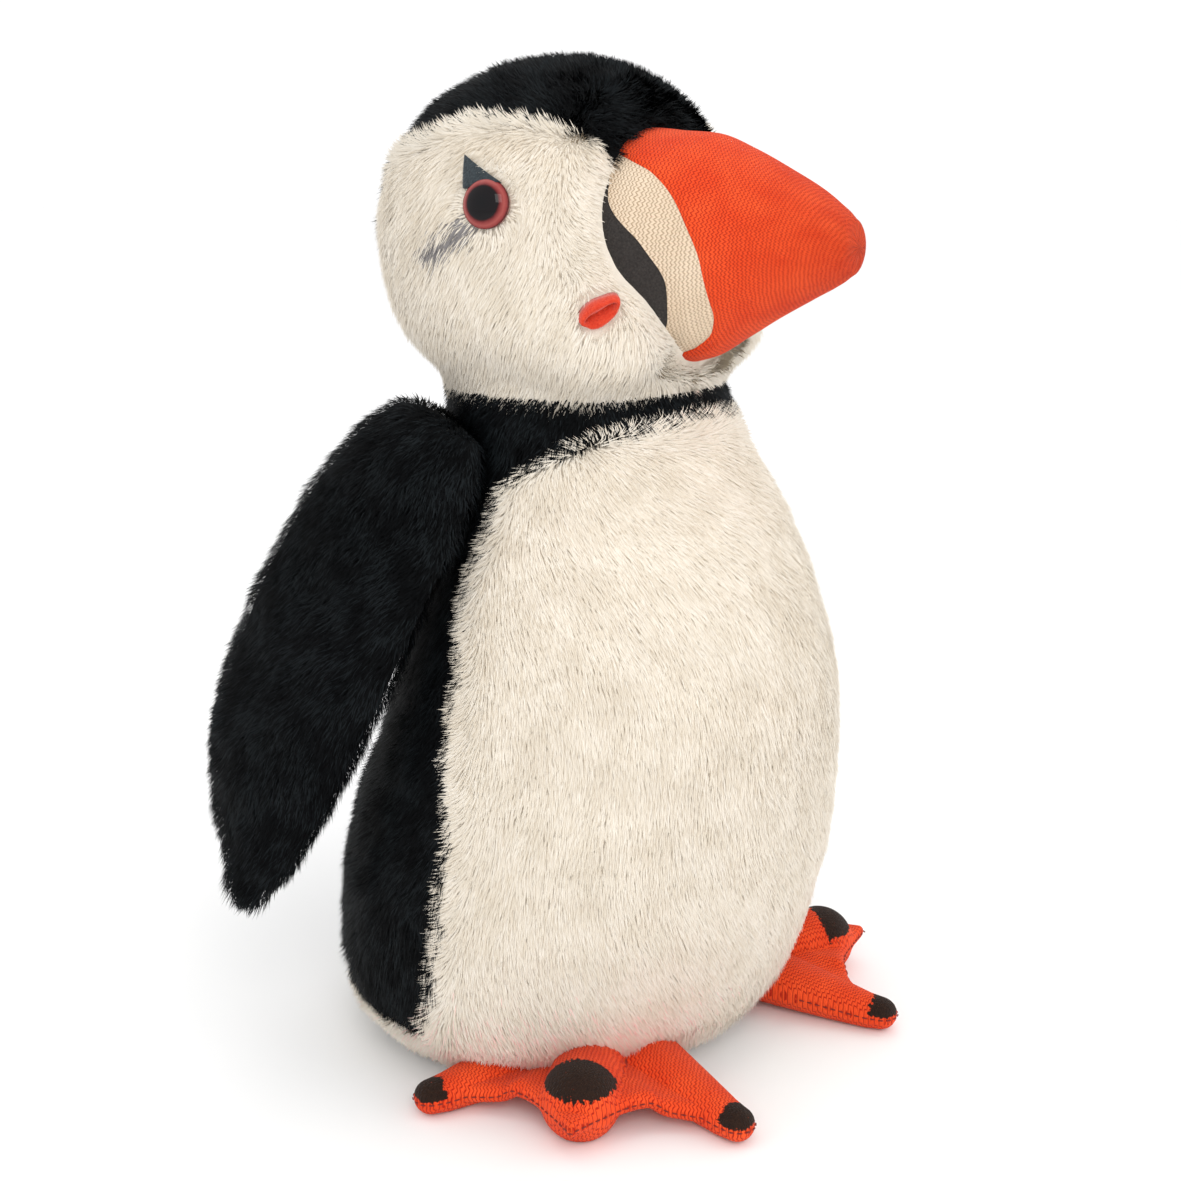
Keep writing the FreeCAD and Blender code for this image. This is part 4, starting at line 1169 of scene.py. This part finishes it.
def beak_weave(points, around):
    """Texture places in millimetres: along the beak, and round it."""
    girth = np.abs(np.radians(around)) * 24.0
    return np.stack([points[..., 1] - 0.12 * girth, girth + 0.1 * points[..., 1]], -1)


def beak_panels():
    inner = (0, -40, 223)
    around = np.arange(-180, 180, 2.5)
    start = np.where(
        (np.abs(around) > 30) & (np.abs(around) < 162), smooth_curve(BAND_FRONT, np.abs(around)), -12.0
    )
    end = -78.19
    rows = 64
    share = np.linspace(0, 1, rows)[:, None] ** 0.8
    along = start[None, :] + (end - start[None, :]) * share
    grid_a = np.broadcast_to(around, along.shape)
    ease_in = np.exp(-(((start[None, :] - along) / 1.1) ** 2))
    points = beak_point(along, grid_a, 0.25 - 0.5 * ease_in)
    wrap = np.concatenate([around, [180.0]])
    along_wrap = np.concatenate([along, along[:, :1]], 1)
    uv_points = beak_point(along_wrap, np.broadcast_to(wrap, along_wrap.shape))
    uv = beak_weave(uv_points, np.broadcast_to(wrap, along_wrap.shape))
    orange = grid_object("beak_knit", points, around=True, uv=uv, caps=(False, True), inner=inner)
    keep(orange, "head", ORANGE_KNIT, ["beak_panel_left", "beak_panel_right"])
    ridge = beak_point(np.linspace(-34.0, -76.5, 60), np.zeros(60), 0.15)
    thread = sew_line("beak_ridge_stitches", ridge, RIDGE_THREAD, spacing=1.9, length=1.3, thickness=0.3)
    keep(thread, "head")
    rows = np.linspace(-14.0, -77.0, 40)
    grid_h, grid_t = np.meshgrid(rows, np.arange(-180, 180, 6.0), indexing="ij")
    points = beak_point(grid_h, grid_t, -1.6)
    lump = grid_object("beak_stuffing", points, around=True, caps=(True, True), inner=inner)
    keep(lump, "head", STUFFING, ["beak_filling"])
    for side, sign in (("right", 1.0), ("left", -1.0)):
        flank = np.linspace(31, 161, 90)
        front = smooth_curve(BAND_FRONT, flank)
        back = np.where((flank > 44) & (flank < 153), smooth_curve(BAND_BACK, flank), -12.0)
        back = np.maximum(back, front + 0.2)
        band_share = np.linspace(0, 1, 22)[:, None]
        along = front - 1.2 + (back - front + 1.2) * band_share
        grid_a = np.broadcast_to(sign * flank, along.shape)
        crown = 0.35 * np.sin(np.clip(band_share, 0, 1) * math.pi)
        points = beak_point(along, grid_a, crown - 0.4)
        band = grid_object(f"beak_band_knit_{side}", points, uv=beak_weave(points, grid_a), inner=inner)
        keep(band, "head", CREAM_KNIT, [f"beak_band_{side}"])
        flank = np.linspace(46, 151, 70)
        front = smooth_curve(BAND_BACK, flank)
        along = front - 1.0 + (-8.0 - front) * np.linspace(0, 1, 20)[:, None]
        grid_a = np.broadcast_to(sign * flank, along.shape)
        points = beak_point(along, grid_a, -0.55)
        base = grid_object(f"beak_base_nap_{side}", points, uv=beak_weave(points, grid_a), inner=inner)
        keep(base, "head", DARK_NAP, [f"beak_base_{side}"])





# ---------------------------------------------------------------- eyes and trims


def head_frame(bearing, rise, inset):
    """Middle, sideways, upwards and outwards directions of a spot on the head."""
    out = out_way(bearing, rise)
    middle = head_point(np.array([bearing]), np.array([rise]), inset)[0]
    side = unit(np.cross(UP, out))
    return middle, side, np.cross(out, side), out


def eyes():
    for side, sign in (("right", 1.0), ("left", -1.0)):
        middle, across, up, out = head_frame(sign * EYE_BEARING, EYE_RISE, 0.0)
        middle = middle - out * 1.6
        rings = np.linspace(0.03, 1, 22)
        turns = np.radians(np.arange(0, 360, 7.5))
        rows = []
        for ring in rings:
            dome = 4.0 * math.sqrt(max(0.0, 1 - (ring * 0.93) ** 2))
            flat = EYE_RADIUS * ring
            rows.append(
                middle + flat * (np.cos(turns)[:, None] * across + np.sin(turns)[:, None] * up) + dome * out
            )
        rows.append(middle + 0.96 * (rows[-1] - middle - out * 1.4) - out * 0.2)
        stem = middle - out * 9
        rows.append(middle + 1.8 / EYE_RADIUS * (rows[-1] - middle) - out * 0.8)
        rows.append(stem + 1.8 * (np.cos(turns)[:, None] * across + np.sin(turns)[:, None] * up))
        points = np.array(rows)
        eye = grid_object(f"eye_button_{side}", points, around=True, caps=(True, True), inner=middle - out)
        place = vertex_points(eye) - middle
        away = np.linalg.norm(place - (place @ out)[:, None] * out, axis=1) / EYE_RADIUS
        store(eye, "from_middle", away)
        keep(eye, "head", EYE_BUTTON, [f"eye_{side}"])


def eye_felts():
    for side, sign in (("right", 1.0), ("left", -1.0)):
        corners = np.array(FELT_CORNERS)
        rows = []
        steps = 14
        for r in range(steps + 1):
            row = []
            for c in range(steps + 1):
                a = r / steps
                b = c / steps
                spot = corners[0] * (1 - a) + (corners[1] * (1 - b) + corners[2] * b) * a
                row.append(spot)
            rows.append(row)
        spots = np.array(rows)
        spots[0] += (np.random.default_rng(3).random(spots[0].shape) - 0.5) * 0.05
        points = head_point(sign * spots[..., 0], spots[..., 1], -1.0)
        felt = grid_object(f"brow_felt_{side}", points, inner=HEAD_MIDDLE)
        thick = felt.modifiers.new("thickness", "SOLIDIFY")
        thick.thickness = 0.0012
        thick.offset = -1.0
        keep(felt, "head", SLATE_FELT, [f"eye_felt_{side}"])


# Rings of a rosette, from its slit out: share of its size, height over the cheek.
ROSETTE_RINGS = (
    (0.06, 0.2), (0.14, 0.6), (0.35, 2.0), (0.62, 2.6), (0.86, 2.0), (1.0, 0.6), (0.98, -1.6),
)


def rosettes():
    """Oval felt patches folded along their middle, so that a dark slit shows."""
    for side, sign in (("right", 1.0), ("left", -1.0)):
        middle, across, up, out = head_frame(sign * ROSETTE[0], ROSETTE[1], 1.2)
        lean = math.radians(34) * sign
        long_way = math.cos(lean) * across + math.sin(lean) * up
        tall_way = -math.sin(lean) * across + math.cos(lean) * up
        turns = np.radians(np.arange(0, 360, 7.5))
        rows = []
        for share, lift in ROSETTE_RINGS:
            half_long = 3.9 + 1.7 * share
            half_tall = 3.2 * share**0.8
            ripple = 1 + 0.05 * np.sin(turns * 3 + 1) + 0.04 * np.sin(turns * 5)
            rows.append(
                middle
                + long_way * (half_long * ripple * np.cos(turns))[:, None]
                + tall_way * (half_tall * ripple * np.sin(turns))[:, None]
                + out * (lift + 0.25 * np.sin(turns * 4 + 2))[:, None]
            )
        points = np.array(rows)
        patch = grid_object(
            f"gape_felt_{side}", points, around=True, caps=(True, True), inner=middle - 3 * out
        )
        keep(patch, "head", ORANGE_FELT, [f"gape_rosette_{side}"])


# ---------------------------------------------------------------- wings


def wing_point(height, angle, share, inset=1.6):
    """A point of the right wing: height in the wing's frame, angle round it, share of its girth."""
    chord = np.maximum(smooth_curve(WING, height, 1) - inset, 0.6) * share
    thick = np.maximum(smooth_curve(WING, height, 2) - inset, 0.6) * share
    bulge = smooth_curve(WING, height, 3)
    shift = smooth_curve(WING, height, 4)
    local = np.stack(
        [bulge - thick * np.sin(angle), shift + chord * np.cos(angle), height + 0 * angle], -1
    )
    out = unit(np.stack([-np.sin(angle), 0 * angle, 0 * angle], -1) + 1e-6)
    local = local + out * (0.5 * lumps(local, 34.0, 9) * np.abs(np.sin(angle)))[..., None]
    return clear_of_torso(local @ WING_TURN.T + SHOULDER, 1.6)


def clear_of_torso(points, gap):
    """Press points that would lie in the torso out to a gap from its side."""
    height = points[..., 2]
    middle = smooth_curve(TORSO, height, 3)
    wide = smooth_curve(TORSO, height, 1) + gap
    deep = smooth_curve(TORSO, height, 2) + gap
    share = np.sqrt((points[..., 0] / wide) ** 2 + ((points[..., 1] - middle) / deep) ** 2)
    push = np.where(height < 188, np.maximum(1.0, 1 / np.maximum(share, 0.3)), 1.0)
    pushed = points.copy()
    pushed[..., 0] = points[..., 0] * push
    pushed[..., 1] = middle + (points[..., 1] - middle) * push
    return pushed


def wings():
    inner = (WING_TURN @ np.array([-4.0, 0, -60])) + SHOULDER
    down = WING_TURN @ np.array([0, 0, -1.0])
    back = WING_TURN @ np.array([0, 1.0, 0])
    for side in ("right", "left"):
        flip = (lambda p: p) if side == "right" else mirrored
        heights = np.concatenate(
            [np.linspace(5.5, -2, 8), np.linspace(-5, -125, 50), np.linspace(-127, -132.4, 6)]
        )
        heights = np.concatenate([[7.7, 7.4, 6.7], heights, [-133.2, -133.7]])
        girth = np.ones(len(heights))
        girth[:3] = (0.08, 0.45, 0.8)
        girth[-2:] = (0.6, 0.1)
        turns = np.radians(np.arange(0, 360, 7.5))
        grid_h, grid_t = np.meshgrid(heights, turns, indexing="ij")
        points = flip(wing_point(grid_h, grid_t, girth[:, None]))
        padding = grid_object(
            f"wing_padding_{side}", points, around=True, caps=(True, True), inner=flip(inner)
        )
        store(padding, "dark_panel", np.ones(len(padding.data.vertices)))
        core = points.mean(axis=1, keepdims=True)
        lump = grid_object(
            f"wing_stuffing_{side}", core + 0.82 * (points - core), around=True, caps=(True, True),
            inner=flip(inner),
        )
        keep(lump, f"wing_{side}", STUFFING, [f"wing_filling_{side}"])
        nodes = [f"wing_outer_{side}", f"wing_inner_{side}"]
        keep(padding, f"wing_{side}", BACKING, nodes)
        for face, start in (("outer", 0.0), ("inner", math.pi)):
            half = start + np.linspace(0, math.pi, 26)
            grid_h, grid_t = np.meshgrid(heights, half, indexing="ij")
            points = flip(wing_point(grid_h, grid_t, girth[:, None]))
            sheet = grid_object("wing_sheet", points, inner=flip(inner))
            tall = grid_h.ravel()
            chordwise = np.cos(grid_t.ravel())
            flow = 0.35 * np.sin(tall * 0.07 + chordwise * 2)
            way = flip(down[None, :] + back[None, :] * flow[:, None])
            thick = 1 - 0.4 * np.exp(-(((np.abs(chordwise) - 1) / 0.004) ** 2))
            tuft = 1 + 0.5 * ease(-tall, 127, 131)
            comb_sheet(sheet, way, thick, (0.75 + 0.25 * ease(-tall, -6, 6)) * tuft, 0.0)
            seed = 20 + 2 * (side == "left") + (face == "inner")
            pile = grow_pile(
                f"wing_pile_{face}_{side}", sheet, BLACK_PILE, BLACK_PILE[1], seed, 4.4, 4.8,
                clumping=0.36, stray=0.22, clump=8.0,
            )
            keep(pile, f"wing_{side}")


# ---------------------------------------------------------------- feet


def toe_depth(points, toe):
    """Distance from a toe's middle line, its radius there, and how far along it is."""
    angle, length, root, tip = toe
    way = np.array([math.sin(math.radians(angle)), -math.cos(math.radians(angle))])
    share = np.clip(points @ way / length, 0, 1)
    away = np.linalg.norm(points - share[..., None] * length * way, axis=-1)
    return away, root + (tip - root) * share, share


def foot_inside(points):
    """Positive inside the flat outline of the three toes and the web."""
    best = np.full(points.shape[:-1], -1e9)
    for toe in TOES:
        away, radius, _ = toe_depth(points, toe)
        best = np.maximum(best, radius - away)
    return np.maximum(best, web_inside(points))


def web_inside(points):
    """Positive inside the web, whose front edge sags between the toes."""
    bearing = np.degrees(np.arctan2(points[..., 0], -points[..., 1]))
    far = np.linalg.norm(points, axis=-1)
    between = np.abs(np.abs(bearing) - 25) / 25
    reach = 39.0 + 13.0 * np.clip(between, 0, 1.2) ** 2
    inside = reach - far
    return np.where(np.abs(bearing) < 50, inside, -1e9)


def foot_outline():
    """Evenly spaced points along the outline, from the heel round."""
    bearings = np.radians(np.arange(-180, 180, 0.25))
    way = np.stack([np.sin(bearings), -np.cos(bearings)], -1)
    steps = np.linspace(0, 75, 301)[1:]
    inside = foot_inside(way[:, None, :] * steps[None, :, None]) > 0
    last = inside.shape[1] - 1 - np.argmax(inside[:, ::-1], axis=1)
    near, far = steps[last], steps[np.minimum(last + 1, len(steps) - 1)]
    for _ in range(12):
        half = (near + far) / 2
        outside = foot_inside(way * half[:, None]) < 0
        far = np.where(outside, half, far)
        near = np.where(outside, near, half)
    line = way * near[:, None]
    line = np.vstack([line, line[:1]])
    run = np.concatenate([[0], np.cumsum(np.linalg.norm(np.diff(line, axis=0), axis=1))])
    count = 190
    at = np.linspace(0, run[-1], count, endpoint=False)
    return np.stack([np.interp(at, run, line[:, 0]), np.interp(at, run, line[:, 1])], -1)


def foot_heights(points, upper):
    """Height of the upper or the sole over the outline's flat points."""
    top = np.zeros(points.shape[:-1])
    seam = np.zeros(points.shape[:-1])
    weight = np.zeros(points.shape[:-1]) + 1e-6
    for toe in TOES:
        away, radius, share = toe_depth(points, toe)
        flatness = np.clip(8.6 / toe[2] + 0.25 * share, 0, 1)
        bulge = np.sqrt(np.maximum(radius**2 - away**2, 0)) * flatness
        top = np.maximum(top, bulge)
        near = np.exp(-((away / radius) ** 2) * 1.5)
        seam += near * (radius * 0.92)
        weight += near
    middle = seam / weight
    middle = np.clip(middle, 4.8, 9.0)
    rim = np.clip(foot_inside(points) / 3.0, 0, 1)
    web = 2.6 * np.sqrt(1 - (1 - rim) ** 2)
    rise = np.maximum(top, web)
    if upper:
        return middle + rise
    return np.maximum(middle - rise, 0.25)


def foot_shape():
    """The stuffed foot: rings from the heel's middle to the outline, upper and sole joined at the seam."""
    outline = foot_outline()
    shares = 1 - (1 - np.linspace(0, 1, 26)) ** 1.6
    middle = np.array([0.0, -10.0])
    flat = middle + (outline - middle) * shares[1:, None, None]
    upper = np.concatenate([flat, foot_heights(flat, True)[..., None]], -1)
    sole = np.concatenate([flat, foot_heights(flat, False)[..., None]], -1)
    rim = (upper[-1] + sole[-1]) / 2
    rows = np.concatenate([upper[:-1], rim[None], sole[:-1][::-1]])
    return rows


def feet():
    rows = foot_shape()
    uv_flat = np.concatenate([rows[..., :2], rows[:, :1, :2]], 1)
    for side in ("right", "left"):
        flip = (lambda p: p) if side == "right" else mirrored
        points = flip(rows @ FOOT_TURN.T + ANKLE)
        inner = flip(FOOT_TURN @ np.array([0, -20.0, 5]) + ANKLE)
        foot = grid_object(
            f"foot_knit_{side}", points, around=True, uv=uv_flat, caps=(True, True), inner=inner
        )
        plain = np.vstack([rows.reshape(-1, 3), rows[0].mean(0), rows[-1].mean(0)])
        claw = np.zeros(len(plain))
        for toe in TOES:
            away, _, _ = toe_depth(plain[:, :2], toe)
            angle, length = toe[:2]
            way = np.array([math.sin(math.radians(angle)), -math.cos(math.radians(angle))])
            ahead = plain[:, :2] @ way
            if angle == 0:
                tipward = ease(ahead, length - 3.0, length - 1.5)
                claw = np.maximum(claw, tipward * ease(plain[:, 2], 7.0, 8.5) * ease(-away, -9.8, -9.0))
            else:
                tipward = ease(ahead, length - 2.8, length - 1.8)
                claw = np.maximum(claw, tipward * ease(plain[:, 2], 5.0, 6.2))
        store(foot, "claw", claw)
        fill_inside(foot, f"foot_stuffing_{side}", f"foot_{side}", f"foot_filling_{side}", 0.8)
        seam = rows[len(rows) // 2].copy()
        seam[:, :2] *= 1.004
        ahead = seam[:, 1] < -14
        seam = flip(seam[ahead] @ FOOT_TURN.T + ANKLE)
        thread = sew_line(f"foot_stitches_{side}", seam, DARK_THREAD)
        keep(thread, f"foot_{side}")
        keep(foot, f"foot_{side}", FOOT_KNIT, [f"foot_upper_{side}", f"foot_sole_{side}"])


def foot_knit():
    """The orange knit with dark claws painted on the toes' upper ends."""
    # The third colour is painted shade for the gaps between the ribs.
    made, tree, shader, colour = knit_material(
        "foot_knit", (0.90, 0.095, 0.022), (0.76, 0.055, 0.012), (0.40, 0.012, 0.004)
    )
    claw = add_node(tree, "ShaderNodeAttribute", {"attribute_name": "claw"})
    place = add_node(tree, "ShaderNodeTexCoord")
    ragged = add_node(tree, "ShaderNodeTexNoise", Vector=place.outputs["Object"], Scale=900.0, Detail=3.0)
    edge = maths(tree, "MULTIPLY_ADD", ragged.outputs["Fac"], 1.8, -0.9)
    where = maths(tree, "ADD", claw.outputs["Fac"], edge)
    share = maths(tree, "MULTIPLY_ADD", where, 6.0, -2.6, clamp=True)
    tone = mix_colour(tree, ragged.outputs["Fac"], (0.035, 0.016, 0.009), (0.012, 0.007, 0.006))
    tree.links.new(mix_colour(tree, share, colour, tone), shader.inputs["Base Color"])
    return made


FOOT_KNIT = foot_knit()


# ---------------------------------------------------------------- pieces inside


def dress_inside():
    """The filling, washers and pouch keep their CAD shapes and get their own materials."""
    for name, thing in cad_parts.items():
        if "filling" in name:
            wanted = STUFFING
        elif "washer" in name:
            wanted = WASHER
        elif name == "bead_pouch":
            wanted = POUCH
        else:
            continue
        thing.data.materials.clear()
        thing.data.materials.append(wanted)


# ---------------------------------------------------------------- camera, floor and light


def studio():
    reach = 4000
    corners = np.array([(-reach, -reach, 0), (reach, -reach, 0), (reach, reach, 0), (-reach, reach, 0)])
    floor = show("floor", corners, [[0, 1, 2, 3]])
    made, _, _ = new_material("floor_paper", (0.93, 0.93, 0.93), 0.9)
    floor.data.materials.append(made)
    world = bpy.data.worlds.new("studio")
    bpy.context.scene.world = world
    world.use_nodes = True
    world.node_tree.nodes["Background"].inputs["Color"].default_value = (1.0, 1.0, 1.0, 1.0)
    world.node_tree.nodes["Background"].inputs["Strength"].default_value = 1.08
    for name, place, aim, size, power, colour in (
        ("key_light", (-700, -700, 800), (0, 0, 130), 500, 3.4, (1.0, 0.98, 0.95)),
        ("side_light", (600, -800, 600), (0, 0, 130), 700, 1.2, (1.0, 0.98, 0.96)),
        ("top_light", (0, 200, 1100), (0, 0, 130), 800, 1.5, (1.0, 1.0, 1.0)),
    ):
        data = bpy.data.lights.new(name, "AREA")
        data.energy = power
        data.size = size * MM
        data.color = colour
        lamp = bpy.data.objects.new(name, data)
        bpy.context.scene.collection.objects.link(lamp)
        lamp.location = Vector(place) * MM
        lamp.rotation_euler = (Vector(aim) - Vector(place)).to_track_quat("-Z", "Y").to_euler()


def camera():
    data = bpy.data.cameras.new("camera")
    data.sensor_width = 36.0
    data.lens = 54.47
    thing = bpy.data.objects.new("camera", data)
    bpy.context.scene.collection.objects.link(thing)
    where = Vector((-379.306, -296.346, 255.300))
    ahead = (Vector((0, 0, 120)) - where).normalized()
    right = ahead.cross(Vector((0, 0, 1))).normalized()
    up = right.cross(ahead)
    aim = ahead - right * (10.0 / 1787.0) + up * (21.0 / 1787.0)
    thing.location = where * MM
    thing.rotation_euler = aim.to_track_quat("-Z", "Y").to_euler()
    bpy.context.scene.camera = thing


studio()
camera()
bpy.context.scene.view_settings.view_transform = "Standard"
torso_padding()
torso_pile()
head_padding()
head_pile()
beak_panels()
eyes()
eye_felts()
rosettes()
wings()
feet()
dress_inside()
bpy.data.objects.remove(STRAND)
bpy.data.objects.remove(STITCH)
